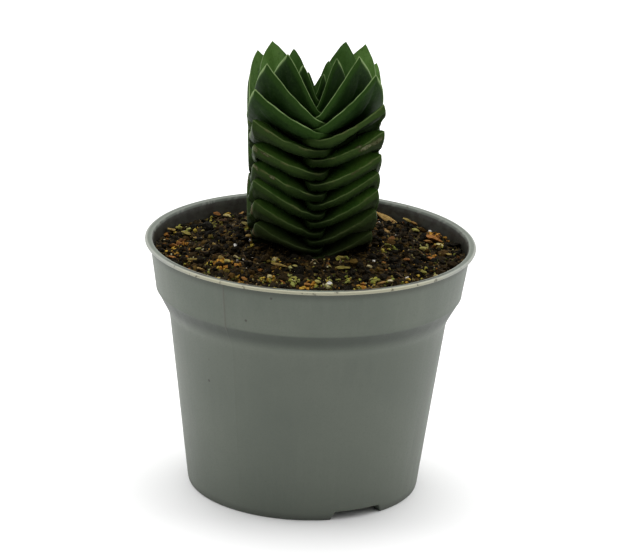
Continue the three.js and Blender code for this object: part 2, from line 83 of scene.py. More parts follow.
# ------------------------------------------------------------------ materials
class Nodes:
    """A small helper to write node trees."""

    def __init__(self, name):
        self.mat = bpy.data.materials.new(name)
        self.mat.use_nodes = True
        self.t = self.mat.node_tree
        self.bsdf = self.t.nodes["Principled BSDF"]
        self.co = self.t.nodes.new("ShaderNodeTexCoord").outputs["Object"]

    def new(self, kind, **values):
        n = self.t.nodes.new("ShaderNode" + kind)
        for k, v in values.items():
            setattr(n, k, v)
        return n

    def put(self, socket, value):
        if isinstance(value, bpy.types.NodeSocket):
            self.t.links.new(value, socket)
        elif isinstance(value, (tuple, list)) and len(value) == 3 and socket.type == "RGBA":
            socket.default_value = (*value, 1.0)
        else:
            socket.default_value = value
        return socket

    def attr(self, name):
        n = self.new("Attribute", attribute_name=name)
        return n.outputs["Fac"]

    def math(self, op, a, b=0.0, c=0.0, clamp=False):
        n = self.new("Math", operation=op, use_clamp=clamp)
        self.put(n.inputs[0], a)
        self.put(n.inputs[1], b)
        self.put(n.inputs[2], c)
        return n.outputs[0]

    def mul(self, a, b):
        return self.math("MULTIPLY", a, b)

    def add(self, a, b):
        return self.math("ADD", a, b)

    def step(self, v, lo, hi, to_lo=0.0, to_hi=1.0):
        """v from lo to hi, smoothly, onto to_lo to to_hi."""
        n = self.new("MapRange", interpolation_type="SMOOTHSTEP")
        for i, x in enumerate((v, lo, hi, to_lo, to_hi)):
            self.put(n.inputs[i], x)
        return n.outputs[0]

    def noise(self, scale, detail=2.0, rough=0.5, co=None, distortion=0.0):
        n = self.new("TexNoise")
        self.put(n.inputs["Vector"], co or self.co)
        n.inputs["Scale"].default_value = scale
        n.inputs["Detail"].default_value = detail
        n.inputs["Roughness"].default_value = rough
        n.inputs["Distortion"].default_value = distortion
        return n.outputs["Fac"]

    def voronoi(self, scale, feature="F1", out="Distance", co=None, rand=1.0):
        n = self.new("TexVoronoi", feature=feature)
        self.put(n.inputs["Vector"], co or self.co)
        n.inputs["Scale"].default_value = scale
        n.inputs["Randomness"].default_value = rand
        return n.outputs[out]

    def mapped(self, scale, offset=(0, 0, 0)):
        n = self.new("Mapping")
        self.put(n.inputs["Vector"], self.co)
        n.inputs["Scale"].default_value = scale
        n.inputs["Location"].default_value = offset
        return n.outputs[0]

    def mix(self, fac, a, b, blend="MIX"):
        n = self.new("Mix", data_type="RGBA", blend_type=blend, clamp_factor=True)
        self.put(n.inputs[0], fac)
        self.put(n.inputs[6], a)
        self.put(n.inputs[7], b)
        return n.outputs[2]

    def ramp(self, fac, stops):
        n = self.new("ValToRGB")
        self.put(n.inputs[0], fac)
        e = n.color_ramp.elements
        while len(e) < len(stops):
            e.new(0.5)
        for el, (p, c) in zip(e, stops):
            el.position = p
            el.color = (*c, 1.0)
        return n.outputs[0]

    def bump(self, height, strength, distance_mm, normal=None):
        n = self.new("Bump")
        n.inputs["Strength"].default_value = strength
        n.inputs["Distance"].default_value = distance_mm * MM
        self.put(n.inputs["Height"], height)
        if normal is not None:
            self.put(n.inputs["Normal"], normal)
        return n.outputs[0]

    def finish(self, colour=None, rough=None, normal=None, **sockets):
        b = self.bsdf
        if colour is not None:
            self.put(b.inputs["Base Color"], colour)
        if rough is not None:
            self.put(b.inputs["Roughness"], rough)
        if normal is not None:
            self.put(b.inputs["Normal"], normal)
        for k, v in sockets.items():
            b.inputs[k.replace("_", " ")].default_value = v
        return self.mat


def leaf_material(name, young):
    m = Nodes(name)
    edge = m.attr("edge")  # mm from the margin: over 0 on the upper side, under 0 on the outer face
    age = m.attr("age")
    rnd = m.attr("rnd")
    scar = m.attr("scar")
    dry = m.attr("dry")
    broad = m.noise(210, 3, 0.55)
    mottle = m.noise(900, 3, 0.6)
    fine = m.noise(3600, 2, 0.6)
    if young:
        up_a, up_b = (0.074, 0.158, 0.027), (0.118, 0.230, 0.055)
        out_a, out_b = (0.0085, 0.0225, 0.0046), (0.0150, 0.0350, 0.0085)
        band, line = (0.020, 0.050, 0.008), (0.155, 0.225, 0.088)
    else:
        up_a, up_b = (0.018, 0.050, 0.006), (0.032, 0.070, 0.010)
        out_a, out_b = (0.007, 0.015, 0.0045), (0.014, 0.026, 0.008)
        band, line = (0.030, 0.056, 0.012), (0.085, 0.120, 0.040)
    upper = m.mix(m.step(broad, 0.3, 0.7), up_a, up_b)
    # painted shade: the upper side darkens away from the margin, deeper in under the leaf above
    upper = m.mix(m.mul(m.step(edge, 1.5, 9.0), 0.62 if young else 0.15), upper, m.mix(1.0, upper, (0.42, 0.50, 0.40), "MULTIPLY"))
    if young:
        veins = m.noise(330, 3, 0.55, co=m.mapped((1.0, 1.0, 0.28), (0.3, 0.6, 0.1)))
        upper = m.mix(m.mul(m.step(veins, 0.46, 0.66), 0.30), upper, (0.150, 0.265, 0.078))
        upper = m.mix(m.step(age, 0.222, 0.202), upper, m.mix(1.0, upper, (0.60, 0.66, 0.66), "MULTIPLY"))
    outer = m.mix(m.step(m.add(m.mul(broad, 0.6), m.mul(mottle, 0.4)), 0.36, 0.62), out_a, out_b)
    if not young:
        # painted light: the exposed corners, lit from the sides, are painted paler and greyer than mid-face
        corner_light = m.mul(m.step(m.attr("tip"), 0.45, 0.95), m.step(m.add(broad, m.mul(mottle, 0.4)), 0.5, 0.85, 0.35, 1.0))
        outer = m.mix(m.mul(corner_light, 0.6), outer, (0.034, 0.043, 0.022))
    # painted light: a band of brighter green along the margin, where the outer face turns up to the light
    margin_light = m.mul(m.step(edge, -2.9, -1.2), m.step(edge, 0.15, -0.1))
    outer = m.mix(m.mul(margin_light, 0.92), outer, band)
    if young:
        # the blades' inmost ends, down in the crown, are as fresh as their upper sides
        outer = m.mix(m.mul(m.step(m.attr("wing"), 0.25, 0.45), m.step(age, 0.32, 0.26)), outer, upper)
    base = m.mix(m.step(edge, -0.06, 0.06), outer, upper)
    if not young:
        # painted shade: low on the column the middles of the faces, which get the least light, are darkened to deep
        # green
        midface_shade = m.mul(m.step(m.attr("tip"), 0.80, 0.15), m.step(age, 0.55, 0.72))
        base = m.mix(m.mul(midface_shade, 0.58), base, (0.0080, 0.0160, 0.0034))
        # painted shade: the ends of the blades, where crossed leaves lap over each other, are darkened too
        blade_end_shade = m.mul(m.step(m.attr("tip"), 0.42, 0.04), m.step(age, 0.38, 0.56))
        base = m.mix(m.mul(blade_end_shade, 0.80), base, (0.0062, 0.0130, 0.0024))
    # bloom and fine mottling
    base = m.mix(m.mul(m.step(mottle, 0.52, 0.75), 0.38), base, (0.030, 0.056, 0.014))
    base = m.mix(m.mul(m.step(fine, 0.52, 0.75), 0.34), base, (0.006, 0.012, 0.0035))
    base = m.mix(m.mul(m.step(m.noise(2100, 3, 0.65, co=m.mapped((1, 1, 0.6), (0.4, 0.1, 0.2))), 0.54, 0.72), 0.26), base, (0.046, 0.078, 0.024))
    base = m.mix(m.mul(m.step(rnd, 0.0, 1.0), 0.20), base, (0.014, 0.026, 0.008))
    # the oldest pairs are dull and brownish
    base = m.mix(m.step(age, 0.78, 1.0, 0.0, 0.62), base, (0.021, 0.0235, 0.0095))
    # margin line: thin, broken, paler at the tip
    # painted highlight: on the side of front leaves turned away (far), the pale margin line is widened onto the outer
    # face, where the outline shows
    wide = m.add(m.add(0.10, m.mul(m.noise(520, 2, 0.5), 0.18)), m.mul(m.mul(m.attr("far"), 1.15), m.step(edge, 0.04, -0.04)))
    near = m.math("ABSOLUTE", m.add(edge, 0.09))
    on_line = m.step(m.math("DIVIDE", near, wide), 1.25, 0.55)
    broken = m.step(m.noise(260, 2, 0.5, co=m.mapped((1, 1, 1), (0.07, 0.03, 0.05))), 0.28, 0.5, 0.35 if young else 0.15, 1.0)
    shown = m.mul(m.step(m.attr("wing"), 0.05, 0.16, 1.0, 0.0), m.step(age, 0.55, 0.95, 1.0, 0.35))
    if young:
        # it fades where the larger young blades meet at mid-face
        shown = m.mul(shown, m.add(1.0, m.mul(m.mul(m.step(age, 0.27, 0.34), m.step(m.attr("tip"), 0.26, 0.02)), -0.8)))
    base = m.mix(m.mul(m.mul(on_line, broken), m.mul(shown, 0.95 if young else 0.85)), base, line)
    if not young:
        # older margins turn buff in places
        buff = m.mul(shown, m.step(m.noise(330, 3, 0.6, co=m.mapped((1, 1, 1), (0.2, 0.1, 0.3))), 0.52, 0.68))
        buff = m.mul(buff, m.step(near, 0.75, 0.1))
        base = m.mix(m.mul(buff, 0.42), base, (0.110, 0.102, 0.044))
    if not young:
        # where crossed blades lap over each other at mid-face, little light gets in
        lap = m.mul(m.step(m.attr("tip"), 0.26, 0.0), m.step(age, 0.38, 0.50))
        base = m.mix(m.mul(lap, 0.68), base, (0.0054, 0.0115, 0.0022))
    # scars: buff to brown patches with a dark outline
    ragged = m.add(scar, m.mul(m.add(m.noise(750, 4, 0.65), -0.5), 0.9))
    hurt = m.step(ragged, 0.42, 0.60)
    hue = m.ramp(m.noise(1300, 3, 0.6), [(0.32, (0.030, 0.030, 0.012)), (0.5, (0.085, 0.095, 0.045)), (0.68, (0.21, 0.21, 0.13))])
    base = m.mix(m.mul(m.step(ragged, 0.30, 0.44), 0.6), base, (0.05, 0.045, 0.02))
    base = m.mix(m.mul(hurt, 0.8), base, hue)
    # dry, papery ends
    papery = m.step(m.add(dry, m.mul(m.add(m.noise(600, 3, 0.6), -0.5), 0.7)), 0.40, 0.62)
    base = m.mix(papery, base, m.ramp(m.noise(420, 4, 0.6), [(0.3, (0.045, 0.036, 0.018)), (0.6, (0.135, 0.112, 0.062))]))
    rough = m.step(m.add(mottle, m.mul(m.add(hurt, papery), 0.5)), 0.3, 0.9, 0.46, 0.66)
    n1 = m.bump(fine, 0.22, 0.10)
    n2 = m.bump(broad, 0.30, 0.55, n1)
    n3 = m.bump(m.mul(m.noise(1500, 3, 0.6), m.add(hurt, papery)), 0.6, 0.4, n2)
    return m.finish(base, rough, n3, Specular_IOR_Level=0.02)


def soil_material(name, tones, speck=True, rough=(0.75, 0.95), bump=1.0):
    m = Nodes(name)
    cell = m.new("TexVoronoi")
    m.put(cell.inputs["Vector"], m.co)
    cell.inputs["Scale"].default_value = 1150
    pick = m.new("SeparateColor")
    m.put(pick.inputs[0], cell.outputs["Color"])
    grain = m.noise(1700, 4, 0.65)
    colour = m.ramp(m.add(m.mul(pick.outputs[0], 0.6), m.mul(grain, 0.5)), tones)
    if speck:
        tiny = m.new("TexVoronoi")
        m.put(tiny.inputs["Vector"], m.mapped((1, 1, 1), (0.3, 0.2, 0.1)))
        tiny.inputs["Scale"].default_value = 1900
        one = m.new("SeparateColor")
        m.put(one.inputs[0], tiny.outputs["Color"])
        on = m.mul(m.step(one.outputs[0], 0.90, 0.93), m.step(tiny.outputs["Distance"], 0.42, 0.2))
        colour = m.mix(m.mul(on, 0.85), colour, m.ramp(one.outputs[1], [(0.2, (0.10, 0.075, 0.022)), (0.5, (0.17, 0.12, 0.05)), (0.8, (0.30, 0.26, 0.17))]))
    n1 = m.bump(m.add(m.mul(cell.outputs["Distance"], -1.0), grain), 0.9 * bump, 0.5)
    return m.finish(colour, m.step(grain, 0.3, 0.7, *rough), n1, Specular_IOR_Level=0.06)


def bit_material(name, tones, grain_scale=1200, stretch=(1, 1, 1), rough=0.85, bump=0.5, spec=0.08):
    """Loose pieces on the soil: each piece has its own tone from its attribute, with grain over it."""
    m = Nodes(name)
    rnd = m.attr("rnd")
    g = m.noise(grain_scale, 4, 0.6, co=m.mapped(stretch))
    colour = m.ramp(rnd, tones)
    colour = m.mix(m.mul(m.step(g, 0.35, 0.7), 0.60), colour, m.mix(1.0, colour, (0.28, 0.22, 0.14), "MULTIPLY"))
    colour = m.mix(m.mul(m.step(m.noise(grain_scale * 2.3, 2, 0.6), 0.6, 0.8), 0.20), colour, (0.33, 0.27, 0.14))
    r = m.step(g, 0.2, 0.8, rough - 0.12, min(1.0, rough + 0.1))
    return m.finish(colour, r, m.bump(g, bump, 0.25), Specular_IOR_Level=spec)


def pot_material():
    m = Nodes("pot_plastic")
    sep = m.new("SeparateXYZ")
    m.put(sep.inputs[0], m.co)
    x, y, z = sep.outputs[0], sep.outputs[1], sep.outputs[2]
    inside = m.attr("inside")  # 1 on the wall inside
    broad = m.noise(38, 3, 0.5)
    fine = m.noise(2600, 2, 0.6)
    streak = m.noise(60, 4, 0.6, co=m.mapped((5.5, 5.5, 0.35)))
    colour = m.mix(m.step(broad, 0.3, 0.7), (0.082, 0.098, 0.076), (0.102, 0.118, 0.092))
    colour = m.mix(m.mul(m.step(streak, 0.45, 0.75), 0.26), colour, (0.136, 0.149, 0.124))
    colour = m.mix(m.mul(m.step(m.noise(760, 3, 0.65), 0.5, 0.72), 0.20), colour, (0.068, 0.086, 0.066))
    colour = m.mix(m.mul(m.step(fine, 0.5, 0.75), 0.26), colour, (0.066, 0.076, 0.058))
    # below the band the colour is a shade greyer and darker
    colour = m.mix(m.mul(m.step(z, 0.0505, 0.0455), 0.30), colour, (0.086, 0.096, 0.078))
    # dust: small dark and pale specks, more of them high on the pot
    spots = m.new("TexVoronoi")
    m.put(spots.inputs["Vector"], m.co)
    spots.inputs["Scale"].default_value = 330
    s = m.new("SeparateColor")
    m.put(s.inputs[0], spots.outputs["Color"])
    chance = m.step(m.add(s.outputs[0], m.mul(m.step(z, 0.02, 0.065), 0.02)), 0.938, 0.948)
    size = m.add(0.03, m.mul(s.outputs[1], 0.10))
    dot = m.mul(chance, m.step(m.math("DIVIDE", spots.outputs["Distance"], size), 1.2, 0.7))
    colour = m.mix(m.mul(dot, 0.75), colour, m.ramp(s.outputs[2], [(0.55, (0.03, 0.028, 0.02)), (0.75, (0.11, 0.09, 0.05)), (0.93, (0.42, 0.42, 0.38))]))
    # painted shade: the slope under the band, which faces down, is darkened, and so is the very foot
    outside = m.step(inside, 0.6, 0.4)
    slope = m.mul(m.step(z, 0.0466, 0.0506), m.step(z, 0.0529, 0.0520))
    colour = m.mix(m.mul(m.mul(slope, 0.9), outside), colour, (0.034, 0.042, 0.032))
    # painted shadow: the narrow strip under the lip is darkened as in the lip's shadow
    under = m.mul(m.step(z, 0.0617, 0.0640), m.step(z, 0.0646, 0.0643))
    colour = m.mix(m.mul(m.mul(under, 0.62), outside), colour, (0.030, 0.034, 0.024))
    # painted shade: the very foot is darkened where it meets the floor
    colour = m.mix(m.step(z, 0.0022, 0.0006, 0.0, 0.5), colour, (0.045, 0.05, 0.042))
    # the wall inside is darkened nearly to the soil's brown, with noise, and a little of the lip with it
    inside_dark_noise = m.step(m.noise(420, 4, 0.65), 0.40, 0.62)
    colour = m.mix(m.mul(m.step(inside, 0.3, 0.9), m.add(0.78, m.mul(inside_dark_noise, 0.20))), colour, (0.0155, 0.0125, 0.0066))
    # painted highlight: the lip's outer bead and its inner edge are lightened, creamier along the front
    lip_highlight = m.mix(m.step(y, -0.020, -0.036), (0.285, 0.295, 0.262), (0.375, 0.360, 0.255))
    colour = m.mix(m.mul(m.attr("bead"), 0.84), colour, lip_highlight)
    colour = m.mix(m.mul(m.attr("seam"), 0.55), colour, (0.070, 0.060, 0.046))
    dirt = m.mul(m.step(z, 0.0636, 0.0645), m.step(m.noise(520, 4, 0.7, co=m.mapped((1, 1, 1), (0.5, 0.2, 0.7))), 0.60, 0.68))
    colour = m.mix(m.mul(dirt, 0.75), colour, (0.050, 0.041, 0.024))
    rough = m.step(m.add(m.mul(streak, 0.5), m.mul(fine, 0.5)), 0.3, 0.7, 0.46, 0.60)
    n1 = m.bump(fine, 0.12, 0.08)
    n2 = m.bump(streak, 0.10, 0.25, n1)
    return m.finish(colour, rough, n2, Specular_IOR_Level=0.42)


# ------------------------------------------------------------------ leaves
PX, PY, TURN = 0.0, 4.0, 3.5
# node z, tip r, tip z, face r, face z, erectness, thickness, thickness at the stem, margin's straight share, its power, body
PAIRS = [
    (99.6, 2.1, 108.4, 2.2, 103.9, 1, 0.55, 0.3, 0.8, 1.4, 0, 0.12),
    (99, 4.5, 110.8, 4.6, 103.1, 1, 0.8, 0.3, 0.75, 1.4, 0, 0.12),
    (98.3, 6.8, 113.4, 8.0, 102.0, 1, 1, 0.35, 0.73, 1.08, 0, 0.1),
    (97.4, 10.7, 114.8, 11.7, 101.7, 1, 1.1, 0.5, 0.71, 1.2, 0, 0.06),
    (96.4, 14.3, 115.1, 14.2, 101.1, 1, 1.2, 0.6, 0.71, 1.05, 0, 0.02),
    (95.3, 18.2, 113.5, 15.6, 100.2, 0.96, 1.1, 0.7, 0.57, 1.5, 0, 0),
    (94.2, 19.9, 110.9, 16.6, 98.5, 0.86, 1.15, 0.8, 0.53, 1.5, 0.4, 0),
    (92.9, 22, 107.5, 17.3, 97.5, 0.72, 1.35, 0.9, 0.5, 1.7, 0.6, 0),
    (91.3, 22.9, 104.3, 16.9, 95.4, 0.46, 2.3, 0.9, 0.34, 1.8, 1.0, 0),
    (89.8, 23.3, 100.3, 16.7, 92.6, 0.28, 2.35, 0.9, 0.28, 1.9, 1.5, 0),
    (87.2, 23.1, 97.6, 16.5, 90.0, 0.15, 2.3, 0.9, 0.32, 1.8, 1.7, 0),
    (84.9, 22.9, 93.9, 16.7, 86.6, 0.06, 2.4, 0.9, 0.4, 1.8, 1.9, 0),
    (82.5, 22.9, 91.8, 16.5, 83.7, 0, 2.4, 0.9, 0.42, 1.8, 1.9, 0),
    (79.7, 22.7, 88.6, 16.6, 80.9, 0, 2.3, 0.9, 0.46, 1.8, 1.9, 0),
    (77.1, 22.6, 87, 16.4, 78.3, 0, 2.15, 0.9, 0.52, 1.7, 1.9, 0),
    (74.5, 22.5, 84.3, 16.5, 75.7, 0, 2.05, 0.9, 0.55, 1.7, 1.9, 0),
    (72.2, 22.2, 82.4, 16.2, 73.4, 0, 2.0, 0.9, 0.55, 1.7, 1.8, 0),
    (69.6, 22, 78.8, 16.1, 70.8, 0, 2.0, 0.9, 0.52, 1.8, 1.6, 0),
    (67.3, 21.6, 76.9, 15.8, 68.5, 0, 1.95, 0.9, 0.48, 1.8, 1.4, 0),
    (64.9, 21, 73.2, 15.4, 66.1, 0, 1.75, 0.9, 0.42, 1.9, 1.1, 0),
    (62.8, 20.3, 70.9, 14.9, 64, 0, 1.6, 0.9, 0.36, 1.9, 0.3, 0),
]
# tip radius and height of single leaves, where they differ from the pair's: (pair, rank)
TIPS = {
    (1, 0): (2.2, 108.6), (1, 1): (2.8, 108.1), (2, 2): (5.2, 111.2), (2, 3): (4.3, 110.8), (3, 0): (6.4, 113.4), (3, 1): (8.0, 113.0),
    (4, 2): (10.9, 115.0), (4, 3): (10.7, 114.8), (5, 0): (13.7, 115.3), (5, 1): (15.3, 113.9), (6, 2): (18.6, 113.9), (6, 3): (18.5, 113.0),
    (7, 0): (19.4, 111.7), (7, 1): (20.5, 110.5), (8, 2): (22.5, 107.8), (8, 3): (23.1, 107.3), (9, 0): (22.4, 104.6), (10, 2): (23.4, 100.2),
    (13, 0): (22.6, 91.7), (15, 0): (21.8, 86.9), (17, 0): (21.8, 82.2), (19, 0): (21.2, 76.8),
}
# how far single leaves stand out, mm
OUT = {(15, 1): -1.1, (17, 1): -1.0, (13, 1): -0.1, (19, 1): 0.75, (11, 1): 0.05, (12, 2): -0.35, (14, 2): -0.3, (9, 1): 0.1}
# how much flatter the outer face of single leaves is under the tip
WAIST = {(9, 0): 0.62, (7, 0): 0.55, (5, 0): 0.2, (11, 0): 0.2, (12, 2): 0.4}
# how far the side turned away is drawn in, mm
DENT = {(9, 0): 1.0, (7, 0): 0.25, (12, 2): 0.9, (14, 2): 0.3}
LEAF_IN, LEAF_SHIFT = 2.45, 0.12
POWER = 14


def bez(t, P):
    m = 1 - t
    return m * m * m * P[0] + 3 * m * m * t * P[1] + 3 * m * t * t * P[2] + t * t * t * P[3]


def bezd(t, P):
    m = 1 - t
    return 3 * (m * m * (P[1] - P[0]) + 2 * m * t * (P[2] - P[1]) + t * t * (P[3] - P[2]))


def corner(rt, rf):
    def mix(A, B):
        return (A ** -POWER + B ** -POWER) ** (-1 / POWER)
    A, B = rt, rf
    for _ in range(12):
        A *= rt / mix(A, B * math.sqrt(2))
        B *= rf / mix(A * math.sqrt(2), B)
    return A, B


CORNERS = {}


def tip_of(k, rank):
    rt, zt = PAIRS[k - 1][1], PAIRS[k - 1][2]
    return TIPS.get((k, rank), (rt, zt + 0.35 * vary(k, rank, 1)))


def profile(k, rank, a, wave=0.0):
    zn, _, _, rf, zf, e, T, Tin, c1, pw, body, puff = PAIRS[k - 1]
    rt, zt = tip_of(k, rank)
    own = abs(a) if abs(a) <= 45 else 90 - abs(a)
    if (k, rank) not in CORNERS:
        CORNERS[k, rank] = corner(rt, rf)
    A, B = CORNERS[k, rank]
    rm = ((A / math.cos(rad(own))) ** -POWER + (B / math.cos(rad(45 - own))) ** -POWER) ** (-1 / POWER)
    u = rm * math.sin(rad(45 - own)) / (rt * math.sqrt(0.5))
    dip = zt - zf
    v = max(u, 0)
    level = 0.5 * (u + math.sqrt(u * u + 0.0144)) - 0.06 * max(0.0, 1 - v)
    u_line = lerp(level, u, float(smooth((e - 0.3) / 0.4)))
    zm = zf + dip * (c1 * u_line + (1 - c1) * v**pw + puff * 6.75 * v * v * (1 - v)) + wave
    rb = min(LEAF_IN, rf * 0.55)
    a1, b1 = lerp(0.26, 0.72, e), lerp(0.12, 0.06, e)
    a2 = lerp(0.48, 1.0, e ** 0.75)
    droop = lerp(0.6, 1.9, float(smooth(u * 1.5)))
    R = [rb, rb + a1 * (rm - rb), rb + a2 * (rm - rb), rm]
    Z = [zn, zn + b1 * (zm - zn), lerp(zm + droop, zn + 0.5 * (zm - zn), e ** 0.8), zm]
    end, w = 1.0, 0.0
    if abs(a) > 45:
        w = math.tan(rad(abs(a) - 45))
        want = zf - dip * c1 * w * (1 + 0.6 * w) - 0.02
        lo, hi = 0.3, 1.0
        for _ in range(30):
            mid = (lo + hi) / 2
            if bez(mid, Z) > want:
                hi = mid
            else:
                lo = mid
        tuck = 1 - 0.44 * float(smooth((w - 0.07) / 0.36))
        end = lerp(tuck, (lo + hi) / 2, float(smooth((e - 0.3) / 0.4)))
        drop = 0.25 * (1 - math.exp(-w / 0.1)) * (1 - e)
        Z = [Z[0], Z[1] - 0.5 * drop, Z[2] - drop, Z[3] - drop]
    return R, Z, end, u, w


def keel_of(k):
    e = PAIRS[k - 1][5]
    room = PAIRS[k - 1][2] - PAIRS[k + 1][2] - PAIRS[k - 1][6] - PAIRS[k - 1][10] - 0.4 if k + 2 <= len(PAIRS) else 1.6
    return max(0.2, min(lerp(3.0, 0.2, min(1.0, e * 1.6) ** 0.7), room)) * min(1.0, max(0.0, PAIRS[k - 1][1] / 14))


# mm in from the margin, on the upper side and on the lower
UP_MM = [0, 0.07, 0.15, 0.24, 0.36, 0.55, 0.8, 1.2, 1.7, 2.3, 3.1, 4.1, 5.3, 6.8, 8.8, 11.2, 14]
LOW_MM = [0.02, 0.06, 0.13, 0.22, 0.35, 0.52, 0.75, 1.0, 1.35, 1.8, 2.4, 3.2, 4.2, 5.6, 7.6, 10.4, 14]


def leaf_mesh(k, rank, azimuth, marks):
    zn, _, _, rf, zf, e, T, Tin, c1, pw, body, puff = PAIRS[k - 1]
    rt, zt = tip_of(k, rank)
    keel = keel_of(k)
    half = np.concatenate([np.linspace(0, 8, 9), np.linspace(9.6, 43, 21), np.linspace(44.2, 64, 16), [67, 71, 76, 82, 88]])
    side = np.concatenate([-half[:0:-1], half])
    V, E, WING, TIP, SC, DR, FAR = [], [], [], [], [], [], []
    away = {0: 1, 2: -1}.get(rank, 0)  # which side of a front leaf is turned away
    waist, dent = WAIST.get((k, rank), 0.0), DENT.get((k, rank), 0.0)
    shift = LEAF_SHIFT + OUT.get((k, rank), 0.14 * vary(k, rank, 11) if k > 8 else 0.0)
    wavy = 0.10 * min(1, rt / 14)
    for a in side:
        across0 = rt * math.sin(rad(a))
        wave = wavy * (
            math.sin(across0 * 0.9 + 3 * vary(k, rank, 4)) * 0.5
            + math.sin(across0 * 2.1 + 3 * vary(k, rank, 5)) * 0.3
            + noise.noise(Vector((across0 * 0.55, k * 3.1, rank * 7.7))) * 1.4
        ) * math.exp(-((abs(a) / 70) ** 6))
        R, Z, end, u, w = profile(k, rank, a, wave)
        ts = np.linspace(0, end, 90)
        r, z = bez(ts, R), bez(ts, Z)
        seg = np.hypot(np.diff(r), np.diff(z))
        dist = np.concatenate([np.cumsum(seg[::-1])[::-1], [0.0]])  # mm in from the margin
        L = dist[0]

        def at(mm):
            mm = np.asarray(mm, float)
            d = mm * L / 14 if L < 13 else mm * (1 + (L / 14 - 1) * mm / 14)
            return np.interp(-d, -dist, ts), d

        tu, du = at(UP_MM)
        tl, dl = at(LOW_MM)
        up = np.stack([bez(tu, R), bez(tu, Z)], 1)
        rl, zl = bez(tl, R), bez(tl, Z)
        dr, dz = bezd(tl, R), bezd(tl, Z)
        ln = np.hypot(dr, dz) + 1e-9
        rnd = lambda width: np.sqrt(1 - (1 - np.clip(dl / width, 0, 1)) ** 2)
        sharp = 1 - (1 - np.clip(dl / 2.6, 0, 1)) ** 2
        d = (Tin + (T - Tin) * smooth((tl - 0.3) / 0.4)) * lerp(rnd(1.6), sharp, e)
        d = d * (1 - 0.45 * float(smooth(u)) * float(smooth((e - 0.15) / 0.3)))
        aside = max(0.0, u) * rt * math.sqrt(0.5)  # mm from mid-face towards the tip
        d = d + lerp(0.15, 1.0, float(smooth(aside / 9))) * body * (1 - e) * smooth((tl - 0.35) / 0.3) * rnd(4.0)
        past = -u * rt * math.sqrt(0.5)  # mm past mid-face
        d = d * lerp(lerp(1, 0.2, float(smooth((past + 1.5) / 5.0))), lerp(1, 0.5, float(smooth(w / 0.4))), e)
        near = 26 - abs(a) if a * away <= 0 else 58 - a * away
        d = d * (1 - waist * float(smooth(near / 18)) * smooth((dl - 0.5) / 2.0))
        K = 0 * d
        if w == 0:
            across = rl * math.sin(rad(a))
            K = keel * np.exp(-((across / 2.6) ** 2)) * smooth((tl - 0.5) / 0.3) * rnd(lerp(1.5, 2.2, e))
        nose = np.clip(d / T, 0, 1)
        nose = 1.1 * (1 - e) * nose * (1 - nose) * (1 - float(smooth(w / 0.3)))
        low = np.stack([rl + (d + e * K) * dz / ln + 0.14 * (1 - e) * K + nose, zl - (d + e * K) * dr / ln - (1 - e) * K], 1)
        d = d + K
        ring = np.concatenate([up[::-1], low])
        if dent:
            ring[:, 0] -= dent * float(smooth((a * away - 3) / 14)) * float(smooth((60 - a * away) / 14)) * smooth((ring[:, 0] - 9) / 7)
        edge = np.concatenate([du[::-1], -np.hypot(dl, d)])
        ca, sa = math.cos(rad(a)), math.sin(rad(a))
        for (rr, zz), ee in zip(ring, edge):
            V.append((rr * ca + shift, rr * sa, zz))
            E.append(ee)
            WING.append(w)
            TIP.append(max(u, 0.0) if w == 0 else 0.0)
            # far: where the margin line is widened as painted highlight along the outline
            FAR.append(float(smooth((a * away + 0.4) / 1.8)) * float(smooth((44 - a * away) / 14)) * min(1.0, max(0.0, (15 - k) / 4)))
            sc = dy = 0.0
            for kind, a0, e0, wa, we, amp in marks:
                g = amp * math.exp(-(((across0 - a0) / wa) ** 2) - ((ee - e0) / we) ** 2)
                if kind == "scar":
                    sc = max(sc, g)
                else:
                    dy = max(dy, g)
            SC.append(sc)
            DR.append(dy)
    V = np.array(V)
    # slight unevenness of the flesh
    for i in range(len(V)):
        p = Vector(V[i])
        n = noise.noise(p * 0.32 + Vector((k * 5.3, rank * 9.1, 0))) * 0.16 + noise.noise(p * 1.1 + Vector((k, rank * 3.3, 4))) * 0.05
        V[i, 2] += n * min(1, rt / 12)
    n = len(UP_MM) + len(LOW_MM)
    m = len(side)
    F = []
    for i in range(m - 1):
        for j in range(n):
            a_, b_ = i * n + j, i * n + (j + 1) % n
            F.append((a_, b_, b_ + n, a_ + n))
    F.append(tuple(range(n - 1, -1, -1)))
    F.append(tuple((m - 1) * n + j for j in range(n)))
    twist = 0.5 * vary(k, rank, 7) if k > 3 else 0.0
    t = rad(azimuth + twist - 90)
    c, s_ = math.cos(t), math.sin(t)
    X = V[:, 0] * c - V[:, 1] * s_ + PX
    Y = V[:, 0] * s_ + V[:, 1] * c + PY
    attrs = {
        "edge": E, "wing": WING, "tip": TIP, "scar": SC, "dry": DR, "far": FAR,
        "age": [k / 21] * len(V), "rnd": [0.5 + 0.5 * vary(k, rank, 9)] * len(V),
    }
    return np.stack([X, Y, V[:, 2]], 1), F, attrs


YOUNG = leaf_material("leaf_young", True)
MATURE = leaf_material("leaf_mature", False)
RANKS = [("front_right", 45 + TURN), ("back_left", 225 + TURN), ("front_left", -45 + TURN), ("back_right", 135 + TURN)]
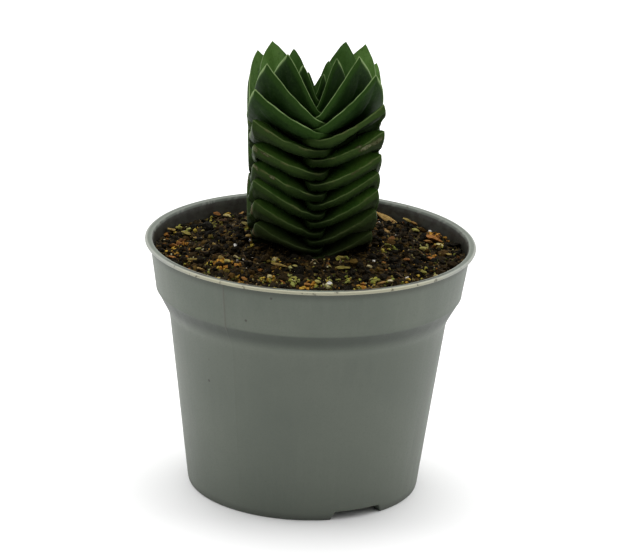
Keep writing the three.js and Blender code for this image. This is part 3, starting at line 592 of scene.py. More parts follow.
# scars and dry ends: pair, rank -> (kind, mm across from the middle line, mm from the margin, half widths, strength)
MARKS = {
    (11, 0): [("scar", -3.6, -1.2, 1.6, 0.8, 1.0), ("scar", -1.2, -1.6, 1.0, 0.9, 0.9), ("scar", 0.8, -1.0, 0.7, 0.6, 0.85), ("scar", -5.4, 0.3, 1.2, 0.6, 0.7)],
    (12, 2): [("scar", 0.2, -0.9, 0.8, 0.8, 0.95), ("scar", 2.6, -0.5, 1.6, 0.5, 0.75)],
    (13, 0): [("scar", -6.0, -0.3, 2.0, 0.4, 0.75)],
    (14, 2): [("scar", 4.2, -0.3, 0.9, 0.6, 0.95), ("scar", 0.4, -0.6, 0.9, 0.7, 0.8)],
    (10, 3): [("scar", 1.0, -1.0, 1.0, 0.7, 0.8)],
    (15, 1): [("scar", -2.0, -0.8, 1.4, 0.7, 0.85)],
    (17, 3): [("scar", 2.5, -0.6, 1.0, 0.6, 0.8)],
    (16, 3): [("scar", -1.5, -0.9, 1.2, 0.6, 0.85)],
    (18, 2): [("dry", -3.5, -0.8, 2.6, 1.6, 1.0)],
    (19, 1): [("dry", 2.0, -1.0, 3.0, 1.6, 1.0)],
    (20, 2): [("dry", -4.0, -1.0, 3.0, 1.5, 0.95)],
    (20, 3): [("dry", 1.0, -1.0, 3.5, 1.5, 0.95)],
    (21, 0): [("dry", 5.0, -1.2, 3.0, 1.2, 0.8)],
    (21, 1): [("dry", -4.0, -1.0, 4.0, 1.4, 0.95)],
}
for k in range(1, len(PAIRS) + 1):
    for rank in (0, 1) if k % 2 else (2, 3):
        where, azimuth = RANKS[rank]
        V, F, attrs = leaf_mesh(k, rank, azimuth, MARKS.get((k, rank), []))
        name = f"leaf_{k:02d}_{where}"
        o = new_object(name + "_blade", V, F, YOUNG if k < 9 else MATURE, attrs=attrs)
        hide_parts(name)

# ------------------------------------------------------------------ stem
m = Nodes("stem_skin")
g = m.noise(900, 4, 0.6, co=m.mapped((1, 1, 0.3)))
STEM = m.finish(m.ramp(g, [(0.3, (0.07, 0.085, 0.03)), (0.5, (0.12, 0.14, 0.05)), (0.7, (0.17, 0.15, 0.07))]), m.step(g, 0.2, 0.8, 0.6, 0.85), m.bump(g, 0.6, 0.3))
stem_node = bpy.data.objects["stem"]
for slot in stem_node.material_slots:
    slot.material = STEM

# ------------------------------------------------------------------ pot
POT_H, RIM_R, WALL, FOOT_IN, FOOT_R, STEP_R, STEP_Z, BAND_LOW_R, BAND_LOW_Z, BAND_TOP_R = 65.2, 42.5, 0.9, 27.6, 30.05, 35.9, 46.5, 39.4, 52.6, 41.2
NOTCH_H = 2.28


def arc(c, r, a0, a1, n):
    return [(c[0] + r * math.cos(rad(lerp(a0, a1, i / n))), c[1] + r * math.sin(rad(lerp(a0, a1, i / n)))) for i in range(n + 1)]


def pot_profile():
    p = [(0.0, 2.3), (10, 2.3), (20, 2.3), (FOOT_IN - 0.9, 2.3), (FOOT_IN - 0.45, 2.24), (FOOT_IN - 0.12, 2.0), (FOOT_IN, 1.6), (FOOT_IN, 1.0), (FOOT_IN, 0.35)]
    p += [(FOOT_IN + 0.06, 0.12), (FOOT_IN + 0.2, 0.0), (FOOT_IN + 1.2, 0.0), (FOOT_R - 0.42, 0.0), (FOOT_R - 0.2, 0.05), (FOOT_R - 0.06, 0.2), (FOOT_R, 0.42)]
    slope = (STEP_R - FOOT_R) / STEP_Z
    for z in (1.0, 1.6, 2.29, 3.0, 4.5, 8, 13, 18, 23, 28, 33, 38, 42, 44.6, 45.6):
        p.append((FOOT_R + slope * z + 0.055 * max(0.0, z - 44.4) ** 2, z))
    # soft turn into the chamfer, the chamfer, and the band's lower edge with its fine ridge
    p += [(STEP_R + 0.13, 46.2), (STEP_R + 0.27, 46.62), (STEP_R + 0.45, 47.0)]
    for i in range(1, 6):
        p.append((lerp(STEP_R + 0.42, BAND_LOW_R - 0.42, i / 6), lerp(47.0, BAND_LOW_Z - 0.7, i / 6)))
    p += [(BAND_LOW_R - 0.36, BAND_LOW_Z - 0.62), (BAND_LOW_R - 0.12, BAND_LOW_Z - 0.28), (BAND_LOW_R + 0.03, BAND_LOW_Z - 0.02), (BAND_LOW_R + 0.06, BAND_LOW_Z + 0.22), (BAND_LOW_R + 0.04, BAND_LOW_Z + 0.5)]
    for z in (54, 56, 58, 60, 62, 63.4):
        p.append((lerp(BAND_LOW_R, BAND_TOP_R, (z - BAND_LOW_Z) / (POT_H - 0.95 - BAND_LOW_Z)), z))
    p += [(BAND_TOP_R - 0.02, 63.95), (BAND_TOP_R + 0.10, 64.18), (BAND_TOP_R + 0.4, 64.25), (RIM_R - 0.45, 64.25)]
    p += arc((RIM_R - 0.42, 64.70), 0.42, -80, 80, 8)
    p += [(RIM_R - 0.62, 65.14), (RIM_R - 0.85, 65.05), (RIM_R - 1.1, 65.05), (41.15, 65.10), (40.95, 65.14), (40.75, 65.08), (40.60, 64.86)]
    p += [(BAND_TOP_R - WALL, 64.2), (BAND_TOP_R - WALL - 0.1, 63.0), (40.0, 60.5), (39.3, 57.0), (BAND_LOW_R - WALL, BAND_LOW_Z + 0.2)]
    p += [(STEP_R - WALL + 0.1, STEP_Z - 0.1), (33.0, 30), (31.2, 15), (FOOT_R - WALL + 0.45, 3.7), (FOOT_R - WALL, 3.35), (20, 3.3), (10, 3.3), (0.0, 3.3)]
    return p


def pot_mesh():
    P = pot_profile()
    notch_az = [28.6, 208.6]
    az = list(np.linspace(0, 360, 241)[:-1])
    for mid in notch_az:
        for s in (-1, 1):
            e = mid + s * 14
            az += [(e + d) % 360 for d in np.linspace(-2.4, 2.4, 17)]
    az += [(SEAM + d) % 360 for d in (-1.1, -0.7, -0.45, -0.25, -0.1, 0, 0.1, 0.25, 0.45, 0.7, 1.1)]
    az = sorted(set(round(a, 4) for a in az))

    def notch(a):
        best = 0.0
        for mid in notch_az:
            off = abs((a - mid + 180) % 360 - 180)
            mm = (14 - off) * rad(1) * FOOT_R  # mm inside the notch
            if mm > -0.02:
                best = max(best, min(NOTCH_H, 0.55 * min(1, max(0, mm + 0.02) / 0.12) + max(0, mm - 0.12) * 1.75))
        return best

    V, F = [], []
    n = len(P)
    inner = [i for i in range(n) if 0 < i < n - 1]
    for a in az:
        h = notch(a)
        lifted = 0.30 * (1 - math.cos(rad(a))) + 0.22 * math.exp(-(((a - 205 + 180) % 360 - 180) / 40) ** 2)
        seam = 0.07 * math.exp(-(((a - SEAM + 180) % 360 - 180) * 0.72 / 0.28) ** 2)
        for i in inner:
            r, z = P[i]
            if i < 26 and z < h:
                z = h
            rr = r
            if 16 < i and z > 3 and r > 29 and i < n - 14:
                rr += 0.035 * math.sin(rad(a * 3 + 40)) + (seam if z > 50 else seam * 0.5)
            if z > 47:
                z += lifted * (z - 47) / (POT_H - 47)
            V.append((rr * math.sin(rad(a)), -rr * math.cos(rad(a)), z))
    q = len(inner)
    N = len(az)
    for i in range(N):
        j = (i + 1) % N
        for t in range(q - 1):
            F.append((i * q + t, j * q + t, j * q + t + 1, i * q + t + 1))
    c0 = len(V)
    V.append((0, 0, P[0][1]))
    V.append((0, 0, P[-1][1]))
    for i in range(N):
        j = (i + 1) % N
        F.append((c0, j * q, i * q))
        F.append((c0 + 1, i * q + q - 1, j * q + q - 1))
    return V, F


SEAM = -31.0  # azimuth of the moulding line on the band, from the front towards +X
POT = pot_material()
V, F = pot_mesh()
pot = new_object("pot_shell", V, F, POT)
cut = bmesh.new()
for i in range(6):
    a = rad(28.6 + 30 + i * 60)
    bmesh.ops.create_cone(cut, cap_ends=True, segments=32, radius1=2.6 * MM, radius2=2.6 * MM, depth=4 * MM, matrix=Matrix.Translation((18 * MM * math.cos(a), 18 * MM * math.sin(a), 2.8 * MM)))
cm = bpy.data.meshes.new("holes")
cut.to_mesh(cm)
cut.free()
co = bpy.data.objects.new("holes", cm)
scene.collection.objects.link(co)
mod = pot.modifiers.new("holes", "BOOLEAN")
mod.operation, mod.solver, mod.object = "DIFFERENCE", "EXACT", co
bpy.context.view_layer.update()
dg = bpy.context.evaluated_depsgraph_get()
made = bpy.data.meshes.new_from_object(pot.evaluated_get(dg))
pot.modifiers.clear()
old = pot.data
pot.data = made
made.name = "pot_shell"
bpy.data.objects.remove(co)
bpy.data.meshes.remove(cm)
bpy.data.meshes.remove(old)
for p in made.polygons:
    p.use_smooth = True
made.set_sharp_from_angle(angle=rad(50))
outline = sorted((z, r) for r, z in pot_profile() if 29 < r and z > 2.3 and (r > 41.0 or r > STEP_R + 0.5 + (z - 47) * 0.5 or z < 46.7) and not (z < 46 and r < FOOT_R + (STEP_R - FOOT_R) / STEP_Z * z - 0.3))
zs, rs = np.array([q[0] for q in outline]), np.array([q[1] for q in outline])
hidden, bead, seam = [], [], []
for p in made.vertices:
    r, z = math.hypot(p.co.x, p.co.y) / MM, p.co.z / MM
    off = (math.degrees(math.atan2(p.co.x, -p.co.y)) - SEAM + 180) % 360 - 180
    seam.append(math.exp(-((off / 0.32) ** 2)) if z > 51.5 and r > 38.5 else 0.0)
    # bead: where the lip's painted highlight goes, the outer bead and, less, the inner edge
    bead.append(float(smooth((r - 41.75) / 0.35)) + 0.45 * float(smooth((41.05 - r) / 0.2)) if z > 64.2 and r > 40.6 else 0.0)
    hidden.append(1.0 if 3.0 < z < 65.2 and r < float(np.interp(z, zs, rs)) - 0.45 else 0.0)
at = made.attributes.new("inside", "FLOAT", "POINT")
at.data.foreach_set("value", hidden)
for key, values in (("bead", bead), ("seam", seam)):
    at = made.attributes.new(key, "FLOAT", "POINT")
    at.data.foreach_set("value", values)
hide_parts("pot")

# ------------------------------------------------------------------ soil
rng = np.random.default_rng(832)
SOIL_MID_Z = 64.7


def wall_z(x, y):
    """The soil's level at the wall: a little lower at the back."""
    return 62.0 - 0.95 * y / 40 - 0.1 * x / 40



def plant_reach(x, y):
    """How far outside the lowest pairs' square outline a point is, in mm."""
    dx, dy = x - PX, y - PY
    t = rad(45 - 3.5)
    a = abs(dx * math.cos(rad(TURN)) + dy * math.sin(rad(TURN)))
    b = abs(-dx * math.sin(rad(TURN)) + dy * math.cos(rad(TURN)))
    return max(a, b) - 15.4


def soil_z(x, y):
    d = math.hypot(x - PX, y - PY)
    z = lerp(SOIL_MID_Z, wall_z(x, y), float(smooth((d - 15) / 21)))
    z += 0.35 * math.sin(0.31 * x + 1.2) * math.cos(0.27 * y - 0.4) + 0.22 * math.sin(0.63 * x - 0.5 * y + 2)
    z = min(z, 64.9)
    z -= 1.0 * float(smooth((3.5 - plant_reach(x, y)) / 4.0))
    p = Vector((x, y, 0))
    z += 0.45 * noise.noise(p * 0.35 + Vector((3, 1, 2))) + 0.38 * noise.noise(p * 0.8) + 0.26 * noise.noise(p * 1.7 + Vector((9, 2, 5))) + 0.14 * noise.noise(p * 3.6)
    return z


def soil_mesh():
    V, F = [], []
    edge_r = 39.85
    rows = list(np.arange(7.0, edge_r, 0.42)) + [edge_r]
    N = 300
    for r in rows:
        for i in range(N):
            a = 2 * math.pi * (i + (0.5 if len(V) // N % 2 else 0)) / N
            x, y = r * math.sin(a), -r * math.cos(a)
            V.append((x, y, soil_z(x, y) if r < edge_r - 0.01 else soil_z(x, y) - 0.5))
    # down the wall, so that the soil is a body and not a sheet
    for r, z in ((39.6, 58.0), (38.2, 53.0), (34.6, 46.0), (29.3, 4.0)):
        for i in range(N):
            a = 2 * math.pi * i / N
            V.append((r * math.sin(a), -r * math.cos(a), z))
    R = len(rows) + 4
    for j in range(R - 1):
        for i in range(N):
            k2 = (i + 1) % N
            F.append((j * N + i, (j + 1) * N + i, (j + 1) * N + k2, j * N + k2))
    V.append((0, 0, 62.0))
    V.append((0, 0, 4.0))
    for i in range(N):
        k2 = (i + 1) % N
        F.append((len(V) - 2, i, k2))
        F.append((len(V) - 1, (R - 1) * N + k2, (R - 1) * N + i))
    return V, F


SOIL = soil_material("soil_mix", [(0.20, (0.0035, 0.0026, 0.0010)), (0.45, (0.0085, 0.0056, 0.0018)), (0.66, (0.021, 0.013, 0.0036)), (0.88, (0.070, 0.044, 0.011))])
V, F = soil_mesh()
soil = new_object("soil_bed", V, F, SOIL)
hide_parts("soil")


def ico(n):
    b = bmesh.new()
    bmesh.ops.create_icosphere(b, subdivisions=n, radius=1.0)
    b.verts.ensure_lookup_table()
    v = np.array([x.co[:] for x in b.verts])
    f = [tuple(x.index for x in q.verts) for q in b.faces]
    b.free()
    return v, f


ICO1, ICO2, ICO3 = ico(1), ico(2), ico(3)


def turn(rng, flat=1.0):
    """A turning matrix: any heading, and a tilt that is smaller the flatter the piece lies."""
    yaw = rng.uniform(0, 2 * math.pi)
    tilt = rng.normal(0, 0.35 + 1.2 * (1 - flat))
    axis = rng.uniform(0, 2 * math.pi)
    A = Matrix.Rotation(tilt, 3, Vector((math.cos(axis), math.sin(axis), 0))) @ Matrix.Rotation(yaw, 3, "Z")
    return np.array(A)


def chunk(base, size, rng, cuts=5, rough=0.12):
    """An angular lump: a ball with flats cut on it, drawn out to size."""
    v = base[0].copy()
    for _ in range(cuts):
        n = rng.normal(size=3)
        n /= np.linalg.norm(n)
        c = rng.uniform(0.45, 0.85)
        over = np.clip(v @ n - c, 0, None)
        v -= np.outer(over, n)
    off = rng.uniform(0, 50, 3)
    bump = np.array([noise.noise(Vector(p * 1.9 + off)) for p in v])
    v *= (1 + rough * 2 * bump)[:, None]
    return v * np.asarray(size)


class Heap:
    def __init__(self, name, material, slot="soil"):
        self.name, self.material, self.slot = name, material, slot
        self.V, self.F, self.R, self.n = [], [], [], 0

    def add(self, v, faces, rnd):
        self.V.append(v)
        self.F += [tuple(i + self.n for i in f) for f in faces]
        self.R += [rnd] * len(v)
        self.n += len(v)

    def make(self, smooth_shade=True):
        o = new_object(self.name, np.concatenate(self.V), self.F, self.material, smooth_shade, {"rnd": self.R})
        return o


def spot(rng, margin=0.4, wall=39.2):
    while True:
        r = wall * math.sqrt(rng.uniform(0, 1))
        a = rng.uniform(0, 2 * math.pi)
        x, y = r * math.sin(a), -r * math.cos(a)
        if plant_reach(x, y) > margin:
            return x, y


CRUMB = bit_material("peat_crumb", [(0.0, (0.0026, 0.0022, 0.0008)), (0.55, (0.0085, 0.0058, 0.0017)), (0.82, (0.024, 0.0145, 0.0035)), (0.95, (0.066, 0.034, 0.005)), (1.0, (0.11, 0.082, 0.014))], 1600, bump=0.7, rough=0.88)
BARK = bit_material("bark_chip", [(0.0, (0.035, 0.017, 0.006)), (0.2, (0.11, 0.048, 0.014)), (0.4, (0.26, 0.110, 0.024)), (0.55, (0.27, 0.165, 0.055)), (0.7, (0.20, 0.190, 0.040)), (0.85, (0.34, 0.28, 0.10)), (1.0, (0.56, 0.51, 0.35))], 900, (1, 1, 2.5), bump=0.6, rough=0.8)
GRIT = bit_material("grit", [(0.0, (0.045, 0.018, 0.006)), (0.2, (0.15, 0.060, 0.014)), (0.36, (0.36, 0.165, 0.022)), (0.5, (0.44, 0.270, 0.036)), (0.66, (0.30, 0.270, 0.045)), (0.8, (0.17, 0.190, 0.032)), (0.9, (0.36, 0.34, 0.13)), (1.0, (0.62, 0.58, 0.38))], 1500, bump=0.6, rough=0.82)
PALE = bit_material("perlite", [(0.0, (0.34, 0.31, 0.24)), (0.5, (0.50, 0.47, 0.41)), (1.0, (0.70, 0.69, 0.65))], 1500, bump=0.6, rough=0.9)
MOSS = bit_material("moss_bit", [(0.0, (0.035, 0.045, 0.010)), (0.5, (0.085, 0.090, 0.018)), (0.8, (0.15, 0.13, 0.03)), (1.0, (0.20, 0.16, 0.05))], 1700, bump=0.6, rough=0.9)
FIBRE = bit_material("fibre", [(0.0, (0.04, 0.024, 0.012)), (0.6, (0.13, 0.085, 0.04)), (1.0, (0.26, 0.19, 0.10))], 1200, bump=0.4, rough=0.8)

heap = Heap("soil_crumbs", CRUMB)
for i in range(2100):
    x, y = spot(rng, -1.6)
    s = rng.gamma(2.2, 0.21) + 0.2
    s = min(s, 1.9)
    v = chunk(ICO1, (s * rng.uniform(0.8, 1.3), s * rng.uniform(0.7, 1.1), s * rng.uniform(0.55, 0.9)), rng) @ turn(rng, 0.5).T
    heap.add(v + (x, y, soil_z(x, y) + s * rng.uniform(0.0, 0.45)), ICO1[1], float(rng.uniform()))
heap.make(False)

heap = Heap("bark_chips", BARK)


def chip(x, y, length, width, thick, rnd, lift=0.35, yaw=None, tilt=0.2):
    v = chunk(ICO2, (length / 2, width / 2, thick / 2), rng, 6, 0.10)
    v[:, 2] += 0.10 * (v[:, 0] ** 2) / max(length, 1) * rng.choice([-1, 1])
    if yaw is None:
        v = v @ turn(rng, 0.85).T
    else:
        M = Matrix.Rotation(yaw, 3, "Z") @ Matrix.Rotation(tilt, 3, "Y")
        v = v @ np.array(M).T
    heap.add(v + (x, y, soil_z(x, y) + thick * lift + 0.15), ICO2[1], rnd)


for i in range(60):
    x, y = spot(rng, 0.2, 38.4)
    L = min(0.8 + rng.gamma(2.0, 0.45), 3.6)
    chip(x, y, L, L * rng.uniform(0.35, 0.75), rng.uniform(0.35, 0.9), float(rng.beta(1.1, 1.4)), rng.uniform(0.1, 0.7))
# the larger pieces: x, y, length, width, thickness, tone, lift, heading, tilt
for piece in [
    (19.8, 32.0, 10.5, 2.3, 1.4, 0.57, 0.7, -0.98, 0.06), (25.6, 28.6, 3.4, 2.4, 1.2, 0.62, 1.1, 0.3, 0.5), (27.4, 28.0, 2.8, 2.0, 1.0, 0.50, 0.9, 0.9, 0.6),
    (32.0, 11.6, 6.0, 4.6, 1.3, 0.36, 0.9, 0.25, 0.42), (30.4, 9.6, 3.0, 2.4, 0.9, 0.46, 1.2, 1.1, 0.3), (33.6, 7.2, 2.6, 1.8, 0.8, 0.88, 0.8, 0.2, 0.3),
    (29.3, 2.2, 3.2, 1.9, 0.9, 0.74, 0.8, 0.4, 0.2), (31.0, -4.6, 4.2, 2.8, 0.9, 0.38, 0.8, 0.15, 0.35), (27.6, 21.0, 2.6, 1.8, 0.9, 0.73, 0.7, 0.5, 0.3),
    (19.7, 11.6, 1.9, 1.5, 1.0, 0.56, 0.7, 0.0, 0.2), (19.7, -1.2, 1.8, 1.3, 0.8, 0.70, 0.7, 0.6, 0.2), (28.5, -17.2, 2.1, 1.5, 0.9, 0.71, 0.8, 0.1, 0.2),
    (16.1, -26.0, 2.0, 1.4, 0.9, 0.69, 0.8, 0.9, 0.2), (14.9, -17.2, 1.7, 1.3, 0.8, 0.90, 0.8, 0.4, 0.3), (31.6, -20.2, 2.1, 1.4, 0.9, 0.88, 0.9, 1.2, 0.3),
    (13.3, -29.4, 2.2, 1.5, 0.9, 0.42, 0.8, 0.3, 0.3), (20.1, -26.4, 1.7, 1.3, 0.8, 0.95, 0.9, 0.0, 0.2), (7.8, -13.6, 4.2, 1.4, 0.9, 0.64, 0.7, 0.25, 0.1),
    (8.4, -18.6, 4.4, 1.5, 0.9, 0.66, 0.7, 0.35, 0.1), (24.4, -9.0, 2.4, 1.6, 0.8, 0.30, 0.7, 0.8, 0.2), (35.6, 2.2, 2.4, 1.5, 0.8, 0.62, 0.8, 1.0, 0.3),
    (-25.2, 29.4, 2.5, 1.9, 1.0, 0.28, 0.8, 0.5, 0.3), (-22.0, 25.4, 3.2, 1.5, 0.9, 0.86, 0.9, 0.35, 0.3), (-36.4, 13.4, 2.8, 2.0, 1.0, 0.60, 0.9, 0.6, 0.3),
    (-34.6, 16.4, 2.2, 1.6, 0.9, 0.70, 0.8, 0.2, 0.2), (-32.5, 8.6, 3.2, 2.0, 1.0, 0.66, 0.8, 0.3, 0.25), (-35.0, -2.4, 3.0, 2.2, 1.0, 0.41, 0.8, 0.9, 0.3),
    (-33.4, 0.6, 2.6, 1.7, 0.9, 0.27, 0.8, 0.1, 0.2), (-16.9, 15.2, 3.4, 1.5, 0.9, 0.84, 0.9, 0.25, 0.2), (-15.9, 3.0, 2.6, 1.9, 1.0, 0.58, 0.7, 0.8, 0.3),
    (-24.7, -16.2, 2.2, 1.6, 0.9, 0.42, 0.8, 0.3, 0.2), (-22.7, -14.4, 2.4, 1.7, 0.9, 0.60, 0.9, 0.9, 0.3), (-20.6, -16.6, 2.3, 1.5, 0.9, 0.80, 0.9, 0.1, 0.2),
    (-18.6, -13.4, 2.0, 1.5, 0.8, 0.88, 0.8, 0.6, 0.3), (-9.8, -26.8, 2.3, 1.6, 0.9, 0.88, 0.9, 0.4, 0.2), (-3.6, -27.8, 2.4, 1.6, 0.9, 0.70, 0.9, 0.2, 0.2),
    (-16.2, -29.0, 2.5, 1.6, 0.9, 0.44, 0.9, 0.5, 0.3), (-0.5, -31.4, 2.1, 1.5, 0.9, 0.45, 0.9, 0.8, 0.2), (2.2, -29.4, 2.3, 1.6, 0.9, 0.77, 0.9, 0.1, 0.2),
    (6.9, -26.6, 2.4, 1.5, 0.9, 0.70, 0.8, 0.6, 0.3), (-7.6, -18.6, 5.4, 0.9, 0.7, 0.60, 0.8, -0.5, 0.05), (-29.0, -14.2, 4.8, 0.9, 0.7, 0.62, 0.8, 0.35, 0.05),
    (-28.4, -6.6, 2.1, 1.5, 0.8, 0.70, 0.8, 0.7, 0.2), (-35.0, -11.8, 2.5, 1.7, 0.9, 0.40, 0.8, 0.2, 0.3), (-12.4, -21.0, 2.2, 1.4, 0.8, 0.34, 0.7, 0.9, 0.2),
]:
    chip(*piece)
heap.make(False)

# small grit, thickest along the front and left
heap = Heap("grit_bits", GRIT)
for i in range(300):
    u = rng.uniform()
    if u < 0.42:
        a, r = rng.normal(-0.1, 0.75), 39.2 - rng.gamma(1.6, 3.2)
        x, y = r * math.sin(a), -r * math.cos(a)
        if r < 16 or plant_reach(x, y) < 0.3:
            continue
    elif u < 0.6:
        a, r = rng.normal(-1.7, 0.4), 38.8 - rng.gamma(2.0, 2.6)
        x, y = r * math.sin(a), -r * math.cos(a)
        if r < 18 or plant_reach(x, y) < 0.3:
            continue
    else:
        x, y = spot(rng, 0.1)
    s = rng.uniform(0.16, 0.42) if rng.uniform() < 0.85 else rng.uniform(0.4, 0.7)
    v = chunk(ICO1, (s, s * rng.uniform(0.55, 1), s * rng.uniform(0.5, 0.8)), rng, 4, 0.2) @ turn(rng, 0.4).T
    heap.add(v + (x, y, soil_z(x, y) + s * 0.55 + 0.1), ICO1[1], float(rng.beta(1.3, 1.1)))
# bits that lie together: x, y, half width, half depth, how many, tones from and to, sizes from and to
for cx, cy, wx, wy, many, t0, t1, s0, s1 in [
    (-34.9, -1.3, 0.6, 2.8, 5, 0.36, 0.5, 0.5, 0.9), (-33.2, 1.4, 1.4, 3.7, 8, 0.12, 0.34, 0.5, 0.95), (-37.9, 8.6, 1.3, 3.8, 9, 0.1, 0.35, 0.35, 0.7),
    (-37.0, 16.5, 0.8, 3.9, 6, 0.55, 0.85, 0.35, 0.7), (-33.2, 12.0, 1.7, 3.0, 5, 0.7, 0.9, 0.5, 0.85), (-25.4, 35.0, 0.8, 2.0, 3, 0.15, 0.3, 0.4, 0.7),
    (-21.9, 30.9, 1.2, 2.6, 7, 0.45, 0.7, 0.4, 0.75), (-27.0, 27.8, 0.8, 2.0, 5, 0.5, 0.7, 0.3, 0.5), (-17.5, 10.8, 1.6, 2.1, 6, 0.7, 0.9, 0.35, 0.6),
    (-28.1, -5.5, 1.3, 1.6, 6, 0.8, 0.98, 0.3, 0.5), (-28.9, -13.0, 1.9, 1.2, 7, 0.7, 0.95, 0.25, 0.45), (-25.0, -16.7, 0.9, 2.3, 6, 0.55, 0.8, 0.35, 0.7),
    (-21.7, -16.9, 2.4, 3.6, 24, 0.3, 0.55, 0.4, 0.8), (-18.3, -18.6, 1.0, 2.7, 7, 0.2, 0.45, 0.35, 0.6), (-15.9, -28.7, 1.7, 2.9, 13, 0.28, 0.55, 0.35, 0.65),
    (-12.2, -28.7, 1.2, 2.3, 9, 0.55, 0.85, 0.35, 0.6), (-9.5, -26.9, 1.0, 2.1, 7, 0.45, 0.7, 0.4, 0.75), (-3.8, -28.3, 1.2, 3.7, 12, 0.7, 0.92, 0.4, 0.8),
    (-0.7, -31.8, 1.1, 2.7, 9, 0.3, 0.5, 0.4, 0.7), (2.4, -29.8, 1.0, 3.9, 10, 0.4, 0.75, 0.35, 0.7), (4.8, -29.9, 1.1, 2.9, 8, 0.75, 1, 0.35, 0.7),
    (-8.5, -17.7, 1.5, 5.3, 9, 0.35, 0.7, 0.3, 0.55), (-12.2, -12.7, 2.0, 2.4, 8, 0.5, 0.8, 0.25, 0.5), (-4.5, -22.3, 1.1, 2.2, 6, 0.75, 0.95, 0.35, 0.6),
    (32.2, 15.0, 2.1, 4.6, 12, 0.15, 0.4, 0.5, 0.95), (33.6, 10.5, 1.6, 4.5, 8, 0.45, 0.7, 0.35, 0.65), (29.3, 3.9, 1.6, 2.9, 7, 0.8, 1, 0.4, 0.7),
    (31.2, -2.1, 1.6, 3.5, 8, 0.2, 0.42, 0.4, 0.75), (18.8, -2.7, 1.6, 4.0, 8, 0.5, 0.8, 0.35, 0.75), (21.5, -2.3, 0.9, 1.6, 4, 0.65, 0.85, 0.35, 0.6),
    (8.0, -14.0, 1.5, 2.4, 8, 0.6, 0.85, 0.35, 0.75), (28.2, -16.7, 1.5, 3.7, 10, 0.5, 0.8, 0.4, 0.7), (24.3, -25.5, 1.0, 2.6, 5, 0.3, 0.6, 0.35, 0.6),
    (19.8, -26.1, 1.0, 3.2, 7, 0.6, 0.85, 0.35, 0.65), (16.1, -25.1, 1.0, 2.9, 8, 0.65, 0.9, 0.35, 0.7), (13.3, -30.8, 1.5, 2.9, 12, 0.3, 0.55, 0.35, 0.7),
    (9.5, -25.9, 1.1, 2.4, 8, 0.6, 0.85, 0.35, 0.6), (6.2, -26.1, 2.1, 1.3, 9, 0.6, 0.85, 0.25, 0.5), (0.7, -30.8, 0.7, 2.6, 5, 0.3, 0.5, 0.35, 0.6),
    (-25.9, 19.9, 2.7, 5.7, 22, 0.62, 0.85, 0.18, 0.34), (-15.2, 0.4, 0.6, 6.5, 9, 0.45, 0.62, 0.35, 0.6), (-35.7, -8.8, 1.6, 3.6, 8, 0.2, 0.6, 0.3, 0.6),
    (37.2, 21.2, 1.6, 6.9, 6, 0.15, 0.5, 0.3, 0.6),
]:
    for i in range(many):
        a, q = rng.uniform(0, 2 * math.pi), math.sqrt(rng.uniform(0, 1))
        x, y = cx + wx * q * math.cos(a), cy + wy * q * math.sin(a)
        r = math.hypot(x, y)
        if r > 38.9:
            x, y = x * 38.9 / r, y * 38.9 / r
        if plant_reach(x, y) < -0.6:
            continue
        s = rng.uniform(s0, s1) * (1.0 if i else 1.25)
        v = chunk(ICO2 if s > 0.55 else ICO1, (s * rng.uniform(0.8, 1.3), s * rng.uniform(0.55, 0.95), s * rng.uniform(0.5, 0.85)), rng, 6, 0.22) @ turn(rng, 0.35).T
        heap.add(v + (x, y, soil_z(x, y) + s * rng.uniform(0.45, 0.9) + 0.08), (ICO2 if s > 0.55 else ICO1)[1], float(rng.uniform(t0, t1)))
heap.make(False)

heap = Heap("perlite_bits", PALE)
for i in range(46):
    x, y = spot(rng, 0.1)
    s = rng.uniform(0.12, 0.34) if rng.uniform() < 0.85 else rng.uniform(0.34, 0.6)
    v = chunk(ICO1, (s, s * rng.uniform(0.7, 1), s * 0.8), rng, 4, 0.2) @ turn(rng, 0.3).T
    heap.add(v + (x, y, soil_z(x, y) + s * 0.5), ICO1[1], float(rng.uniform()))
for x, y, s in ((31.6, 24.4, 0.6), (17.8, 24.2, 0.45), (16.3, 18.8, 0.45), (16.2, -10.2, 0.5), (-19.3, -3.8, 0.55), (5.1, -29.9, 0.75), (-13.6, 24.0, 0.4), (24.5, -21.5, 0.4)):
    v = chunk(ICO2, (s, s * 0.8, s * 0.75), rng, 5, 0.2)
    heap.add(v + (x, y, soil_z(x, y) + s * 0.6 + 0.15), ICO2[1], 0.9)
heap.make(False)

heap = Heap("moss_bits", MOSS)
for i in range(420):
    if rng.uniform() < 0.45:
        a = rng.normal(0.15, 0.8)
        r = rng.uniform(33, 39.0)
        x, y = r * math.sin(a), -r * math.cos(a)
    else:
        x, y = spot(rng, -0.4)
    s = rng.uniform(0.16, 0.5)
    v = chunk(ICO1, (s, s * rng.uniform(0.6, 1), s * 0.7), rng, 3, 0.3) @ turn(rng, 0.3).T
    heap.add(v + (x, y, soil_z(x, y) + s * 0.55), ICO1[1], float(rng.uniform()))
heap.make(False)

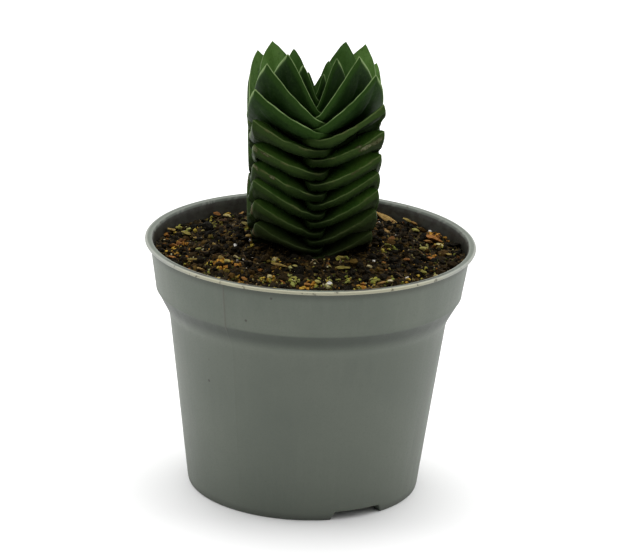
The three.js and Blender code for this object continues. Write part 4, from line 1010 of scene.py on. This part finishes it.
heap = Heap("fibres", FIBRE)
for i in range(70):
    x, y = spot(rng, 0.4, 37)
    L = rng.uniform(2.0, 6.5)
    w = rng.uniform(0.07, 0.17)
    yaw = rng.uniform(0, 2 * math.pi)
    bend = rng.uniform(-0.25, 0.25)
    pts = []
    for j in range(9):
        t = j / 8 - 0.5
        px = x + L * t * math.cos(yaw) - bend * L * (t * t * 4) * math.sin(yaw) * 0.5
        py = y + L * t * math.sin(yaw) + bend * L * (t * t * 4) * math.cos(yaw) * 0.5
        pts.append((px, py, soil_z(px, py) + 0.28 + 0.25 * math.sin(j * 0.9 + i)))
    if max(math.hypot(p[0], p[1]) for p in pts) > 39 or min(plant_reach(p[0], p[1]) for p in pts) < 0:
        continue
    V, F = [], []
    for j, p in enumerate(pts):
        q = Vector(pts[min(j + 1, 8)]) - Vector(pts[max(j - 1, 0)])
        q.normalize()
        s = q.cross(Vector((0, 0, 1))).normalized()
        up = s.cross(q)
        ww = w * (1 - 0.6 * abs(j / 4 - 1) ** 3)
        for c in range(5):
            aa = 2 * math.pi * c / 5
            V.append(tuple(Vector(p) + (s * math.cos(aa) + up * math.sin(aa)) * ww))
    for j in range(8):
        for c in range(5):
            d = (c + 1) % 5
            F.append((j * 5 + c, j * 5 + d, (j + 1) * 5 + d, (j + 1) * 5 + c))
    F.append((4, 3, 2, 1, 0))
    F.append(tuple(40 + c for c in range(5)))
    heap.add(np.array(V), F, float(rng.uniform()))
heap.make(True)

# ------------------------------------------------------------------ camera, light and floor
right = Vector((0.99933875, 0.00775833, 0.03552284))
up = Vector((-0.03618008, 0.30929764, 0.95027679))
forward = Vector((0.00361457, 0.95093363, -0.30937381))
cam = bpy.data.cameras.new("camera")
cam.sensor_width = 36.0
cam.lens = 165.37
cam.clip_start, cam.clip_end = 0.01, 50
camera = bpy.data.objects.new("camera", cam)
scene.collection.objects.link(camera)
camera.matrix_world = Matrix((
    (right[0], up[0], -forward[0], 0.0),
    (right[1], up[1], -forward[1], -0.720399),
    (right[2], up[2], -forward[2], 0.289062),
    (0, 0, 0, 1),
))
scene.camera = camera

m = Nodes("floor_white")
m.finish(m.mix(m.noise(6, 2, 0.5), (0.86, 0.86, 0.86), (0.90, 0.90, 0.90)), 0.9, None, Specular_IOR_Level=0.1)
me = bpy.data.meshes.new("floor")
S = 6.0
me.from_pydata([(-S, -S, -0.00002), (S, -S, -0.00002), (S, S, -0.00002), (-S, S, -0.00002)], [], [(0, 1, 2, 3)])
me.materials.append(m.mat)
floor = bpy.data.objects.new("floor", me)
scene.collection.objects.link(floor)


TOP, SIDE, TENT_FRONT, TENT, TENT_TOP = 9.0, 3.0, 0.12, 0.75, 0.65


def area(name, loc, target, size, power, colour=(1, 1, 1), size_y=None):
    l = bpy.data.lights.new(name, "AREA")
    l.energy = power
    l.color = colour
    l.size = size
    if size_y:
        l.shape = "RECTANGLE"
        l.size_y = size_y
    o = bpy.data.objects.new(name, l)
    scene.collection.objects.link(o)
    o.location = loc
    o.rotation_euler = (Vector(target) - Vector(loc)).to_track_quat("-Z", "Y").to_euler()
    return o


area("top", (0.0, 0.25, 1.1), (0, 0, 0.05), 1.0, TOP)
area("left", (-1.0, 0.25, 0.45), (0, 0, 0.07), 0.8, SIDE)
area("right", (1.0, 0.25, 0.45), (0, 0, 0.07), 0.8, SIDE * 0.85)

world = bpy.data.worlds.new("studio")
scene.world = world
world.use_nodes = True
wt = world.node_tree
bg = wt.nodes["Background"]
bg.inputs[0].default_value = (1, 1, 1, 1)
# a light tent: white at the sides, the back and above, dim where the camera stands
way = wt.nodes.new("ShaderNodeTexCoord").outputs["Generated"]
parts = wt.nodes.new("ShaderNodeSeparateXYZ")
wt.links.new(way, parts.inputs[0])
front = wt.nodes.new("ShaderNodeMapRange")
front.interpolation_type = "SMOOTHSTEP"
for i, v in enumerate((0, -0.95, 0.1, TENT_FRONT, TENT)):
    front.inputs[i].default_value = v
wt.links.new(parts.outputs[1], front.inputs[0])
over = wt.nodes.new("ShaderNodeMapRange")
over.interpolation_type = "SMOOTHSTEP"
for i, v in enumerate((0, 0.1, 0.95, 0.0, TENT_TOP)):
    over.inputs[i].default_value = v
wt.links.new(parts.outputs[2], over.inputs[0])
total = wt.nodes.new("ShaderNodeMath")
total.operation = "ADD"
wt.links.new(front.outputs[0], total.inputs[0])
wt.links.new(over.outputs[0], total.inputs[1])
wt.links.new(total.outputs[0], bg.inputs[1])
seen = wt.nodes.new("ShaderNodeBackground")
seen.inputs[0].default_value = (1, 1, 1, 1)
seen.inputs[1].default_value = 1.0
path = wt.nodes.new("ShaderNodeLightPath")
mixer = wt.nodes.new("ShaderNodeMixShader")
wt.links.new(path.outputs["Is Camera Ray"], mixer.inputs[0])
wt.links.new(bg.outputs[0], mixer.inputs[1])
wt.links.new(seen.outputs[0], mixer.inputs[2])
wt.links.new(mixer.outputs[0], wt.nodes["World Output"].inputs["Surface"])

scene.view_settings.view_transform = "Standard"
scene.view_settings.look = "None"
scene.view_settings.exposure = 0.0
